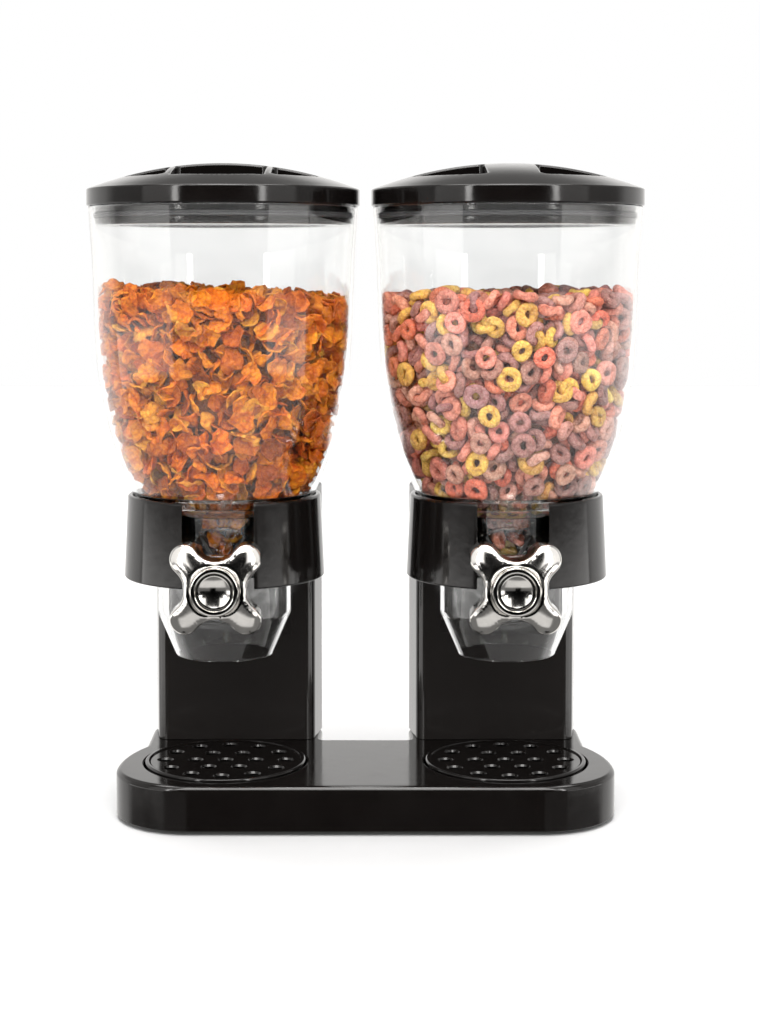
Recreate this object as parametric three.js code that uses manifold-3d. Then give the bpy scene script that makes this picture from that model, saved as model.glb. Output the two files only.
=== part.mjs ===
// Double cereal dispenser: two clear hoppers, each over a hand-turned portion wheel, on one stand.
// Millimetres, +Z up, front faces -Y, origin under the middle of the object on its resting plane.
import * as THREE from 'three';
import { mergeVertices } from 'three/addons/utils/BufferGeometryUtils.js';
import Module from 'manifold-3d';

const wasm = await Module();
wasm.setup();

// ---------------------------------------------------------------- driving dimensions
const GAP = 0.3;                 // clearance between touching pieces
const AXIS_X = 86;               // hopper axes at x = -86 and x = +86
const DEPTH = 86;                // knob front at y = -86, column backs at y = +86
const ROUND = 24;                // facets round a large turned piece
const SMALL = 10;                // facets round a small turned piece
const TINY = 8;                  // facets round a screw
const SHAFT = 12;                // facets round a shaft

const BASE = {
  halfWidth: 151.3, frontY: -59.5, cornerR: 48, sideR: 102.3, sideTurn: 0.4995,
  backHalf: 138.8, backCornerR: 6, notchHalf: 28.2, notchY: 53.4,
  bottom: 2.6, top: 29.4, wall: 2.5, edge: 2, wellR: 50, wellWall: 2, wellFloor: 8,
  bossR: 4, pilotR: 1.8, pilotTop: 16,
};
const PLATE = { top: 5.2, inset: 3, holeR: 2.2 };
const FOOT = { x: 112, frontY: -38, backY: 62, r: 8, edge: 1, spigotR: 2 };
const BASE_SCREW = { headR: 3.4, head: 1.6, shankR: 1.5, length: 11, z: 0.6, x: 130,
  frontY: -38, backY: 75, middleBackY: 40 };
const COLUMN_SCREW = { headR: 4, head: 2.4, shankR: 1.7, length: 12, z: 24.2, x: 28, y: 72,
  clearR: 2.3, pilotR: 2 };

const COLUMN = {
  centreX: 82.7, frontY: 51.5, frontHalf: 49.5, backHalf: 54.6, cornerR: 7, cornerEnd: -0.15,
  backFlat: 4, top: 192, wall: 2.5, floor: 3, coverThickness: 2.2,
};
const COLLAR = {
  top: 195, bottom: 145, topR: 58.6, bottomR: 60.9, wall: 3, bevel: 2,
  ledgeTop: 159.5, ledge: 2.5, ledgeR: 43, slot: 42, slotFront: -70, slotBack: -30,
  tongueHalf: 15, tongueFront: 40, tongueBack: 70, tongueBottom: 155, tongueTop: 185,
};

const HOPPER = {
  rimZ: 369, rimR: 81.6, wall: 2.2, neckZ: 195, neckR: 55,
  skirtR: 50, skirtBottom: 163.1, skirtTop: 190,
};
const BOWL = [                   // [radius, height] from the neck to the rim
  [HOPPER.neckR, HOPPER.neckZ], [61.4, 210], [69, 232], [75.2, 262], [77.8, 290], [79.4, 335],
  [HOPPER.rimR, HOPPER.rimZ],
];
const FUNNEL = {
  seatR: 47.4, seatZ: 189.6, shoulderR: 52.4, shoulderZ: 195, rimR: 53.2, top: 197,
  floorTop: 184, floorR: 26, thickness: 2, throatX: 28, throatY: 40,
};
const WHEEL_Z = 148;             // height of the portion wheel's axis, which runs front to back
const DRUM = { r: 29, wall: 2, half: 24, neckTop: 181.7, neckX: 32, outletX: 34, facets: 20,
  openingInner: 15 };
const SPOUT = {
  flangeR: 46.5, flangeBottom: 159.8, flangeTop: 162.8, r: 40.5, wall: 2,
  coneTop: 122, outletR: 29.8, bottom: 96.5, shaftHoleR: 6, shaftHoleBack: -20,
};
const WHEEL = { r: 26.2, halfWidth: 20, hubR: 7, sleeveWall: 1.6, sleeveHalf: 19.5, blades: 6,
  bladeThickness: 2.2, firstBlade: 30 };
const SPINDLE = { r: 3.2, front: -70, back: 27.5, journalR: 4, tapR: 1.5, tapDepth: 9 };
const BUSH = { r: 6.5, flangeR: 8.5, flange: 1.4, reach: 0.4 };

const KNOB = {
  back: -62.5, front: -82.5, lobeX: 17.8, lobeZ: 17.5, lobeR: 8.6, waistX: 17.9, waistZ: 16.8,
  ringR: 13.9, dishR: 10.7, dishY: -79, boreR: 3.5, boreFront: -70.5, screwHoleR: 1.8, bevel: 1.6,
};
const KNOB_CAP = { rimY: -84.6, rimWidth: 1.2, dishY: -82.6, dishEdge: [5, -82.8], wellR: 4.2,
  wellY: -81.2 };
const KNOB_SCREW = { headFront: -81, headR: 3, headEdge: -80.8, headBackR: 3.4, shankR: 1.2,
  back: -62 };
const LID = {
  rimR: 82.5, bottom: 369.3, apex: 395.1, domeFall: 0.00233, shell: 2.5,
  pocketR: 61, pocketFloor: 376, bar: 31, ribX: 29, rib: 4, pocketWall: 2,
  domeSteps: 4, turn: Math.PI,
};
const PLUG = { r: 77.2, bottom: 357.5, edge: 1, wall: 1.8, flangeR: 79.7, flangeTop: 371.9,
  flangeInner: 73.8, grooveZ: 363.5 };
const GASKET = { r: 78.4, half: 1.5, innerR: 76, lip: 1 };

const GRID = { r: 49.2, top: 31, thickness: 2.2, spigotR: 46, spigotWall: 2, spigotDrop: 4,
  bead: 0.6, holeR: 4.25, rings: [[1, 0], [6, 18.6], [12, 37]] };   // [holes, radius] of each ring
const DISH = { r: 48.4, bottom: 8.4, top: 28.4, wall: 1.6, footR: 40, footRise: 5, taper: 1.5 };

// ---------------------------------------------------------------- materials
const plastic = (color, roughness) => new THREE.MeshStandardMaterial({ color, roughness });
const BLACK = plastic(0x171412, 0.18);
const CLEAR = new THREE.MeshStandardMaterial({
  color: 0xe8ecec, roughness: 0.06, transparent: true, opacity: 0.3,
});
const CHROME = new THREE.MeshStandardMaterial({ color: 0xd4d5d6, roughness: 0.12, metalness: 1 });
const STEEL = new THREE.MeshStandardMaterial({ color: 0x9c9d9f, roughness: 0.35, metalness: 1 });
const RUBBER = plastic(0x1b1b1b, 0.85);
const SILICONE = plastic(0x3a3a3c, 0.55);
const NYLON = plastic(0xdcd8cd, 0.45);

// ---------------------------------------------------------------- solids
const UP = new THREE.Matrix4().makeRotationX(Math.PI / 2);       // turned or extruded about Z

function signedVolume(position, index) {
  const [a, b, c] = [0, 1, 2].map(() => new THREE.Vector3());
  let sum = 0;
  for (let i = 0; i < index.length; i += 3) {
    a.fromBufferAttribute(position, index[i]);
    b.fromBufferAttribute(position, index[i + 1]);
    c.fromBufferAttribute(position, index[i + 2]);
    sum += a.dot(b.cross(c));
  }
  return sum;
}

// A closed three.js geometry as a solid with its faces pointing out.
function solid(geometry, matrix) {
  const bare = geometry.clone();
  bare.deleteAttribute('normal');
  bare.deleteAttribute('uv');
  if (matrix) bare.applyMatrix4(matrix);
  const merged = mergeVertices(bare, 1e-4);
  const position = merged.attributes.position;
  let index = Array.from(merged.index.array);
  if (signedVolume(position, index) < 0) index = index.reverse();
  const whole = [];
  for (let i = 0; i < index.length; i += 3) {
    const [a, b, c] = index.slice(i, i + 3);
    if (a !== b && b !== c && c !== a) whole.push(a, b, c);
  }
  return new wasm.Manifold(new wasm.Mesh({
    numProp: 3,
    vertProperties: new Float32Array(position.array),
    triVerts: new Uint32Array(whole),
  }));
}

const points = (pairs) => pairs.map(([r, z]) => new THREE.Vector2(r, z));

// A piece turned about the Z axis from a profile of [radius, height].
function turned(profile, facets = ROUND) {
  return solid(new THREE.LatheGeometry(points(profile), facets), UP);
}

// The same about an axis that runs front to back; the profile is [radius, y].
function turnedAlongY(profile, facets, z = WHEEL_Z) {
  const geometry = new THREE.LatheGeometry(points(profile), facets);
  return solid(geometry, new THREE.Matrix4().makeTranslation(0, 0, z));
}

const disc = (r, bottom, top, facets = ROUND) =>
  turned([[0, bottom], [r, bottom], [r, top], [0, top]], facets);

const rod = (r, front, back, facets = SMALL, z = WHEEL_Z) =>
  turnedAlongY([[0, front], [r, front], [r, back], [0, back]], facets, z);

function block(x0, x1, y0, y1, z0, z1) {
  const geometry = new THREE.BoxGeometry(x1 - x0, y1 - y0, z1 - z0);
  geometry.translate((x0 + x1) / 2, (y0 + y1) / 2, (z0 + z1) / 2);
  return solid(geometry);
}

// An outline in plan, raised from bottom to top, with its edges bevelled by `edge`.
function raised(shape, bottom, top, edge = 0, curveSegments = 6) {
  const geometry = new THREE.ExtrudeGeometry(shape, {
    depth: top - bottom - 2 * edge, curveSegments, bevelEnabled: edge > 0,
    bevelSize: edge, bevelOffset: -edge, bevelThickness: edge, bevelSegments: 1,
  });
  geometry.translate(0, 0, bottom + edge);
  return solid(geometry);
}

const group = new THREE.Group();

function add(name, body, material, x = 0, turn = 0) {
  const { vertProperties, triVerts } = body.getMesh();
  let geometry = new THREE.BufferGeometry();
  geometry.setAttribute('position', new THREE.BufferAttribute(vertProperties, 3));
  geometry.setIndex(new THREE.BufferAttribute(triVerts, 1));
  geometry = geometry.toNonIndexed();
  geometry.computeVertexNormals();
  const mesh = new THREE.Mesh(geometry, material);
  mesh.name = name;
  mesh.position.x = x;
  mesh.rotation.z = turn;
  group.add(mesh);
}

const holeAt = (x, y, r, bottom, top, facets = SMALL) =>
  disc(r, bottom, top, facets).translate([x, y, 0]);

// ---------------------------------------------------------------- stand
// The right half of the base outline, front middle to back middle, pulled in by `inset`.
function baseOutline(inset) {
  const { halfWidth, frontY, cornerR, sideR, backHalf, backCornerR, notchHalf, notchY } = BASE;
  const half = new THREE.Path();
  half.moveTo(0, frontY + inset);
  half.absarc(halfWidth - cornerR, frontY + cornerR, cornerR - inset, -Math.PI / 2, 0);
  half.absarc(halfWidth - sideR, frontY + cornerR, sideR - inset, 0, BASE.sideTurn);
  half.absarc(backHalf - backCornerR, DEPTH - backCornerR, backCornerR - inset, 0, Math.PI / 2);
  half.absarc(notchHalf + backCornerR, DEPTH - backCornerR, backCornerR - inset,
    Math.PI / 2, Math.PI);
  half.lineTo(notchHalf + inset, notchY - inset);
  half.lineTo(0, notchY - inset);
  const right = half.getPoints(2);
  const left = right.slice(1, -1).map((p) => new THREE.Vector2(-p.x, p.y)).reverse();
  return new THREE.Shape([...right, ...left]);
}

const SCREWS = [-1, 0, 1].flatMap((i) => [
  [i * BASE_SCREW.x, BASE_SCREW.frontY],
  [i * BASE_SCREW.x, i ? BASE_SCREW.backY : BASE_SCREW.middleBackY],
]);
const COLUMN_SCREWS = [-1, 1].map((i) => [i * COLUMN_SCREW.x, COLUMN_SCREW.y]);
const FEET = [-1, 1].flatMap((i) => [[i * FOOT.x, FOOT.frontY], [i * FOOT.x, FOOT.backY]]);

function baseShell() {
  const { bottom, top, wall, edge, wellR, wellWall, wellFloor, bossR, pilotR, pilotTop } = BASE;
  let shell = raised(baseOutline(0), bottom, top, edge);
  let hollow = raised(baseOutline(wall), bottom - 1, top - wall);
  for (const side of [-1, 1]) {
    hollow = hollow.subtract(holeAt(side * AXIS_X, 0, wellR + wellWall,
      wellFloor - wellWall, top, ROUND));
  }
  for (const [x, y] of SCREWS) {
    hollow = hollow.subtract(holeAt(x, y, bossR, PLATE.top + GAP, top, TINY));
  }
  shell = shell.subtract(hollow);
  for (const side of [-1, 1]) {
    shell = shell.subtract(holeAt(side * AXIS_X, 0, wellR, wellFloor, top + 1, ROUND));
    for (const [x, y] of COLUMN_SCREWS) {
      shell = shell.subtract(holeAt(side * COLUMN.centreX + x, y, COLUMN_SCREW.clearR,
        top - 2 * wall, top + 1));
    }
  }
  for (const [x, y] of SCREWS) shell = shell.subtract(holeAt(x, y, pilotR, 0, pilotTop, TINY));
  return shell;
}

function basePlate() {
  let plate = raised(baseOutline(PLATE.inset), BASE.bottom, PLATE.top);
  const through = PLATE.top + 1;
  for (const [x, y] of SCREWS) {
    plate = plate.subtract(holeAt(x, y, PLATE.holeR, 0, through, TINY));
  }
  for (const [x, y] of FEET) {
    plate = plate.subtract(holeAt(x, y, FOOT.spigotR + GAP, 0, through, TINY));
  }
  return plate;
}

const foot = () => turned([
  [0, 0], [FOOT.r - FOOT.edge, 0], [FOOT.r, FOOT.edge], [FOOT.r, BASE.bottom - GAP],
  [FOOT.spigotR, BASE.bottom - GAP], [FOOT.spigotR, PLATE.top], [0, PLATE.top],
], SMALL);

// A pan-head screw, head down, its shank going up.
const screw = ({ headR, head, shankR, length, z }) => turned([
  [0, z], [headR * 0.8, z], [headR, z + head / 2], [headR, z + head],
  [shankR, z + head], [shankR, z + length], [0, z + length],
], TINY);

function columnOutline(inset) {
  const { frontY, frontHalf, backHalf, cornerR, cornerEnd, backFlat } = COLUMN;
  const half = new THREE.Path();
  half.moveTo(0, frontY + inset);
  half.absarc(frontHalf - cornerR, frontY + cornerR, cornerR - inset, -Math.PI / 2, cornerEnd);
  half.lineTo(backHalf - inset, DEPTH - backFlat);
  half.lineTo(backHalf - inset, DEPTH);
  half.lineTo(0, DEPTH);
  const right = half.getPoints(2);
  const left = right.slice(1, -1).map((p) => new THREE.Vector2(-p.x, p.y)).reverse();
  return new THREE.Shape([...right, ...left]);
}

// The column is a shell that is open at the back, with a round saddle at its top for the collar.
function column(offset) {
  const bottom = BASE.top + GAP;
  const { top, wall, floor, coverThickness, backHalf } = COLUMN;
  const outer = raised(columnOutline(0), bottom, top);
  const hollow = raised(columnOutline(wall), bottom + floor, top - wall)
    .subtract(disc(COLLAR.bottomR + GAP + wall, COLLAR.bottom - GAP - wall, top)
      .translate([offset, 0, 0]));
  const rear = block(-backHalf + wall, backHalf - wall, DEPTH - coverThickness - GAP, DEPTH + 1,
    bottom + floor, top - wall);
  const collarPocket = disc(COLLAR.bottomR + GAP, COLLAR.bottom - GAP, top + 1)
    .translate([offset, 0, 0]);
  const { tongueHalf, tongueFront, tongueBack, tongueBottom, tongueTop } = COLLAR;
  const tonguePocket = block(-tongueHalf - GAP, tongueHalf + GAP, tongueFront, tongueBack + GAP,
    tongueBottom - GAP, tongueTop + GAP).translate([offset, 0, 0]);
  let body = outer.subtract(hollow).subtract(rear).subtract(collarPocket).subtract(tonguePocket);
  for (const [x, y] of COLUMN_SCREWS) {
    body = body.subtract(holeAt(x, y, COLUMN_SCREW.pilotR, 0, bottom + floor + 1));
  }
  return body;
}

function columnBack() {
  const { backHalf, wall, floor, top, coverThickness } = COLUMN;
  const half = backHalf - wall - GAP;
  return block(-half, half, DEPTH - coverThickness, DEPTH,
    BASE.top + GAP + floor + GAP, top - wall - GAP);
}

// A C-shaped ring with an inner ledge; the hopper lifts out with its shaft through the slot.
function collar() {
  const { top, bottom, topR, bottomR, wall, bevel, ledge, ledgeTop, ledgeR } = COLLAR;
  const { slot, slotFront, slotBack, tongueHalf, tongueBack, tongueBottom, tongueTop } = COLLAR;
  const ring = turned([
    [bottomR - wall, bottom], [bottomR, bottom], [topR, top - bevel], [topR - bevel * 0.7, top],
    [topR - wall, top], [bottomR - wall, ledgeTop], [ledgeR, ledgeTop], [ledgeR, ledgeTop - ledge],
    [bottomR - wall, ledgeTop - ledge], [bottomR - wall, bottom],
  ]);
  const tongue = block(-tongueHalf, tongueHalf, bottomR - wall + 1, tongueBack,
    tongueBottom, tongueTop);
  return ring.add(tongue)
    .subtract(block(-slot / 2, slot / 2, slotFront, slotBack, bottom - 1, top + 1));
}

// ---------------------------------------------------------------- hopper
// The bowl of the hopper, from its neck up to its rim, moved in by `inset`.
const bowlProfile = (inset) => new THREE.SplineCurve(points(BOWL)).getPoints(BOWL.length)
  .map((p) => [p.x - inset, p.y]);

// A tube of bowl and skirt, open at both ends.
function hopper() {
  const { wall, skirtR, skirtBottom, skirtTop } = HOPPER;
  const inner = skirtR - wall;
  return turned([
    [inner, skirtBottom], [skirtR, skirtBottom], [skirtR, skirtTop], ...bowlProfile(0),
    ...bowlProfile(wall).reverse(), [inner, skirtTop], [inner, skirtBottom],
  ]);
}

// The sloping floor that sits in the neck of the hopper, with the throat through it.
function funnel() {
  const { seatR, seatZ, shoulderR, shoulderZ, rimR, top } = FUNNEL;
  const { floorTop, floorR, thickness, throatX, throatY } = FUNNEL;
  const body = turned([
    [0, floorTop - thickness], [floorR, floorTop - thickness], [seatR, seatZ],
    [shoulderR, shoulderZ], [rimR, top], [rimR - thickness, top], [floorR, floorTop],
    [0, floorTop],
  ]);
  return body.subtract(block(-throatX / 2, throatX / 2, -throatY / 2, throatY / 2,
    floorTop - thickness - 1, floorTop + 1));
}

// The drum round the portion wheel: open at the top under the throat and at the bottom.
function wheelHousing() {
  const { r, wall, half, neckTop, neckX, outletX, facets, openingInner } = DRUM;
  const { throatX, throatY } = FUNNEL;
  let drum = rod(r, -half + wall + GAP, half, facets);
  drum = drum.add(block(-neckX / 2, neckX / 2, -half + wall + GAP, half, WHEEL_Z + 10, neckTop));
  drum = drum.subtract(rod(r - wall, -half, half - wall, facets));
  drum = drum.subtract(block(-throatX / 2, throatX / 2, -throatY / 2, throatY / 2,
    WHEEL_Z + openingInner, neckTop + 1));
  drum = drum.subtract(block(-outletX / 2, outletX / 2, -throatY / 2, throatY / 2,
    WHEEL_Z - r - 1, WHEEL_Z - openingInner));
  return drum.subtract(rod(BUSH.r + GAP, half - wall - 1, half + 1));
}

function housingCover() {
  const { r, wall, half, facets } = DRUM;
  return rod(r, -half, -half + wall, facets)
    .subtract(rod(BUSH.r + GAP, -half - 1, -half + wall + 1));
}

function spout() {
  const { flangeR, flangeBottom, flangeTop, r, wall, coneTop, outletR, bottom } = SPOUT;
  const { shaftHoleR, shaftHoleBack } = SPOUT;
  const cup = turned([
    [outletR - wall, bottom], [outletR, bottom], [r, coneTop], [r, flangeBottom],
    [flangeR, flangeBottom], [flangeR, flangeTop], [r - wall, flangeTop], [r - wall, coneTop],
    [outletR - wall, bottom],
  ]);
  return cup.subtract(rod(shaftHoleR, -r - 2, shaftHoleBack));
}

// A plain bush with its flange on the outside of the drum's end wall; `side` is -1 at the front.
function bush(side) {
  const outer = side * DRUM.half;
  const inner = outer - side * (DRUM.wall + BUSH.reach);
  const flange = outer + side * (GAP + BUSH.flange);
  return turnedAlongY([
    [SPINDLE.journalR + GAP, inner], [BUSH.r, inner], [BUSH.r, outer + side * GAP],
    [BUSH.flangeR, outer + side * GAP], [BUSH.flangeR, flange],
    [SPINDLE.journalR + GAP, flange], [SPINDLE.journalR + GAP, inner],
  ], SMALL);
}

// ---------------------------------------------------------------- portion wheel and knob
function spindle() {
  const { r, front, back, journalR, tapR, tapDepth } = SPINDLE;
  const shoulder = WHEEL.halfWidth + 1;
  return turnedAlongY([
    [0, front], [r, front], [r, KNOB.back + 1], [journalR, KNOB.back + 2], [journalR, -shoulder],
    [r, -shoulder], [r, shoulder], [journalR, shoulder], [journalR, back], [0, back],
  ], SHAFT).subtract(rod(tapR, front - 1, front + tapDepth, TINY));
}

function wheelHub() {
  const { hubR, halfWidth } = WHEEL;
  return rod(hubR, -halfWidth, halfWidth, DRUM.facets).subtract(
    rod(SPINDLE.r + GAP + 0.1, -halfWidth - 1, halfWidth + 1, SHAFT));
}

function wheelPaddles() {
  const { r, hubR, sleeveWall, sleeveHalf, blades, bladeThickness, firstBlade } = WHEEL;
  let body = rod(hubR + GAP + sleeveWall, -sleeveHalf, sleeveHalf, DRUM.facets);
  for (let i = 0; i < blades; i++) {
    const blade = block(-bladeThickness / 2, bladeThickness / 2, -sleeveHalf, sleeveHalf,
      hubR + 1, r);
    body = body.add(blade.rotate([0, firstBlade + i * 360 / blades, 0])
      .translate([0, 0, WHEEL_Z]));
  }
  return body.subtract(rod(hubR + GAP, -WHEEL.halfWidth, WHEEL.halfWidth, DRUM.facets));
}

// Four round lobes joined by hollow flanks, drawn in the plane of the knob's face.
function knobOutline() {
  const { lobeX, lobeZ, lobeR, waistX, waistZ } = KNOB;
  // Distance from the middle to the centre of the hollow flank that touches both its lobes.
  const flank = (along, across, waist) =>
    (along ** 2 + across ** 2 - (waist - lobeR) ** 2) / (2 * (along - waist + lobeR));
  const shape = new THREE.Shape();
  for (let quarter = 0; quarter < 4; quarter++) {
    const sideways = quarter % 2 === 0;
    const [along, across, waist] = sideways ? [lobeX, lobeZ, waistX] : [lobeZ, lobeX, waistZ];
    const centre = flank(along, across, waist);
    const lean = Math.atan2(across, centre - along);
    const turn = quarter * Math.PI / 2;
    const [c, s] = [Math.cos(turn), Math.sin(turn)];
    const place = (u, v) => [u * c - v * s, u * s + v * c];
    shape.absarc(...place(centre, 0), centre - waist, turn + Math.PI + lean,
      turn + Math.PI - lean, true);
    const next = sideways ? [lobeZ, lobeX, waistZ] : [lobeX, lobeZ, waistX];
    const nextCentre = flank(...next);
    const nextLean = Math.atan2(next[1], nextCentre - next[0]);
    shape.absarc(...place(along, across), lobeR, turn - lean, turn + Math.PI / 2 + nextLean, false);
  }
  return shape;
}

function knob() {
  const { back, front, ringR, dishR, dishY, boreR, boreFront, screwHoleR, bevel } = KNOB;
  const facing = new THREE.Matrix4().makeRotationX(Math.PI / 2);
  const geometry = new THREE.ExtrudeGeometry(knobOutline(), {
    depth: back - front - 2 * bevel, curveSegments: 4, bevelEnabled: true,
    bevelSize: bevel, bevelOffset: -bevel, bevelThickness: bevel, bevelSegments: 1,
  });
  geometry.applyMatrix4(facing);
  geometry.translate(0, back - bevel, WHEEL_Z);
  const ring = rod(ringR, -DEPTH, front + 2, DRUM.facets);
  return solid(geometry).add(ring)
    .subtract(rod(dishR, -DEPTH - 1, dishY, DRUM.facets))
    .subtract(rod(boreR, boreFront, back + 1, SHAFT))
    .subtract(rod(screwHoleR, dishY - 1, SPINDLE.front, SHAFT));
}

function knobCap() {
  const { rimY, rimWidth, dishY, dishEdge, wellR, wellY } = KNOB_CAP;
  const [r, back] = [KNOB.dishR, KNOB.dishY - GAP];
  return turnedAlongY([
    [0, dishY], dishEdge, [r - rimWidth, rimY], [r - GAP, rimY], [r - GAP, back],
    [wellR, back], [wellR, wellY], [0, wellY],
  ], DRUM.facets);
}

function knobScrew() {
  const { headFront, headR, headEdge, headBackR, shankR, back } = KNOB_SCREW;
  const seat = KNOB.dishY - GAP;
  return turnedAlongY([
    [0, headFront], [headR, headEdge], [headBackR, seat], [shankR, seat], [shankR, back], [0, back],
  ], SHAFT);
}

// ---------------------------------------------------------------- lid
const domeHeight = (r, drop = 0) => LID.apex - LID.domeFall * r * r - drop;

function dome(r, bottom, drop) {
  const arc = Array.from({ length: LID.domeSteps + 1 }, (_, i) => {
    const at = r * (1 - i / LID.domeSteps);
    return [at, domeHeight(at, drop)];
  });
  return turned([[0, bottom], [r, bottom], ...arc]);
}

// The pockets round the T-shaped grip, grown by `grow`: one on each side of its front arm, and
// behind its bar a half-moon that two thin ribs divide.
function gripPockets(bottom, grow) {
  const [half, reach, top] = [LID.bar / 2 - grow, LID.rimR, LID.apex + 1];
  const wall = (x0, x1, y0, y1) => block(x0, x1, y0, y1, bottom - 1, top + 1);
  let pockets = disc(LID.pocketR + grow, bottom, top)
    .subtract(wall(-reach, reach, -half, half))
    .subtract(wall(-half, half, -reach, 0));
  const rib = LID.rib / 2 - grow;
  for (const x of rib > 0 ? [-LID.ribX, LID.ribX] : []) {
    pockets = pockets.subtract(wall(x - rib, x + rib, 0, reach));
  }
  return pockets;
}

function lidCap() {
  const { rimR, bottom, shell, pocketFloor, pocketWall } = LID;
  const outer = dome(rimR, bottom, 0);
  const inner = dome(rimR - shell, bottom - 1, shell);
  const pockets = gripPockets(pocketFloor - pocketWall, pocketWall).intersect(outer);
  return outer.subtract(inner).add(pockets).subtract(gripPockets(pocketFloor, 0));
}

function lidPlug() {
  const { r, bottom, edge, wall, flangeR, flangeTop, flangeInner, grooveZ } = PLUG;
  const groove = GASKET.half + GAP;
  return turned([
    [0, bottom], [r - edge, bottom], [r, bottom + edge], [r, grooveZ - groove],
    [GASKET.innerR - GAP, grooveZ - groove], [GASKET.innerR - GAP, grooveZ + groove],
    [r, grooveZ + groove], [r, LID.bottom + GAP], [flangeR, LID.bottom + GAP],
    [flangeR, flangeTop], [flangeInner, flangeTop], [flangeInner, bottom + wall],
    [0, bottom + wall],
  ]);
}

function lidGasket() {
  const { r, half, innerR, lip } = GASKET;
  const z = PLUG.grooveZ;
  return turned([
    [innerR, z - half], [r - lip, z - half], [r, z], [r - lip, z + half], [innerR, z + half],
    [innerR, z - half],
  ]);
}

// ---------------------------------------------------------------- crumb tray
function crumbGrid() {
  const { r, top, thickness, spigotR, spigotWall, spigotDrop, bead, holeR, rings } = GRID;
  const [under, face, holeFacets] = [top - thickness, top - bead, 6];
  let body = turned([
    [0, under], [spigotR - spigotWall, under], [spigotR - spigotWall, under - spigotDrop],
    [spigotR, under - spigotDrop], [spigotR, under], [r, under], [r, face],
    [r - bead, top], [r - 5 * bead, top], [r - 6 * bead, face], [0, face],
  ]);
  for (const [count, ringR] of rings) {
    for (let i = 0; i < count; i++) {
      const angle = 2 * Math.PI * i / count;
      body = body.subtract(holeAt(ringR * Math.cos(angle), ringR * Math.sin(angle), holeR,
        under - 1, top + 1, holeFacets));
    }
  }
  return body;
}

function crumbDish() {
  const { r, bottom, top, wall, footR, footRise, taper } = DISH;
  return turned([
    [0, bottom], [footR, bottom], [r - taper, bottom + footRise], [r, top], [r - wall, top],
    [r - taper - wall, bottom + footRise + wall], [footR - 1, bottom + wall], [0, bottom + wall],
  ]);
}

// ---------------------------------------------------------------- assembly
add('base_shell', baseShell(), BLACK);
add('base_plate', basePlate(), BLACK);
FEET.forEach(([x, y], i) => add(`foot_${i + 1}`, foot().translate([x, y, 0]), RUBBER));
SCREWS.forEach(([x, y], i) => {
  add(`base_screw_${i + 1}`, screw(BASE_SCREW).translate([x, y, 0]), STEEL);
});

for (const [side, name] of [[-1, 'left'], [1, 'right']]) {
  const axis = side * AXIS_X;
  const columnX = side * COLUMN.centreX;
  const lidTurn = side < 0 ? LID.turn : 0;

  add(`column_${name}`, column(axis - columnX), BLACK, columnX);
  add(`column_back_${name}`, columnBack(), BLACK, columnX);
  COLUMN_SCREWS.forEach(([x, y], i) => {
    add(`column_screw_${name}_${i + 1}`, screw(COLUMN_SCREW).translate([x, y, 0]), STEEL, columnX);
  });
  add(`collar_${name}`, collar(), BLACK, axis);

  add(`canister_${name}`, hopper(), CLEAR, axis);
  add(`funnel_${name}`, funnel(), CLEAR, axis);
  add(`wheel_housing_${name}`, wheelHousing(), CLEAR, axis);
  add(`housing_cover_${name}`, housingCover(), CLEAR, axis);
  add(`spout_${name}`, spout(), CLEAR, axis);
  add(`bush_front_${name}`, bush(-1), NYLON, axis);
  add(`bush_rear_${name}`, bush(1), NYLON, axis);

  add(`spindle_${name}`, spindle(), NYLON, axis);
  add(`wheel_hub_${name}`, wheelHub(), NYLON, axis);
  add(`wheel_paddles_${name}`, wheelPaddles(), SILICONE, axis);
  add(`knob_${name}`, knob(), CHROME, axis);
  add(`knob_cap_${name}`, knobCap(), CHROME, axis);
  add(`knob_screw_${name}`, knobScrew(), STEEL, axis);

  add(`lid_cap_${name}`, lidCap(), BLACK, axis, lidTurn);
  add(`lid_plug_${name}`, lidPlug(), BLACK, axis, lidTurn);
  add(`lid_gasket_${name}`, lidGasket(), SILICONE, axis);

  add(`crumb_grid_${name}`, crumbGrid(), BLACK, axis);
  add(`crumb_dish_${name}`, crumbDish(), BLACK, axis);
}

export default group;
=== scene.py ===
"""Double cereal dispenser: the looks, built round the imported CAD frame.

Shapes are built in millimetres in the frame's axes, with each left or right copy moved to its own
hopper axis, and become metres when a piece is made.
"""
import math

import bmesh
import bpy
import numpy as np
from mathutils import Matrix, Vector
from mathutils.geometry import delaunay_2d_cdt


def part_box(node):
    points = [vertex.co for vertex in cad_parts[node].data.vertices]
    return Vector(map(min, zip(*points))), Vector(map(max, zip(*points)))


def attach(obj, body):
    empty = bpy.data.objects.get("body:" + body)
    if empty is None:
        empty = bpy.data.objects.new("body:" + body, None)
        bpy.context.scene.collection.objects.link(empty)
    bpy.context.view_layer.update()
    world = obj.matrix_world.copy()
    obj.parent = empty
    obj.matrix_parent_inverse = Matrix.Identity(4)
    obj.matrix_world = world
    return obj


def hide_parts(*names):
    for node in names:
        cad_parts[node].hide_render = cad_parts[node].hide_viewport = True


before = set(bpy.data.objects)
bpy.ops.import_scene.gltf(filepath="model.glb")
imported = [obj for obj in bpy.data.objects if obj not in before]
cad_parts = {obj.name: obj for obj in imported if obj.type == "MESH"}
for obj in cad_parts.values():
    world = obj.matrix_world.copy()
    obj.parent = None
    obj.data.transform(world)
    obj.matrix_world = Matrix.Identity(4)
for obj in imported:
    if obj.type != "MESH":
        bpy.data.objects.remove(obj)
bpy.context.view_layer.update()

MM = 0.001
SIDES = ((-1, "left"), (1, "right"))
FINE = 144                       # segments round a large turned piece
MEDIUM = 64
SMALL = 32
TINY = 1e-6


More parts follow.
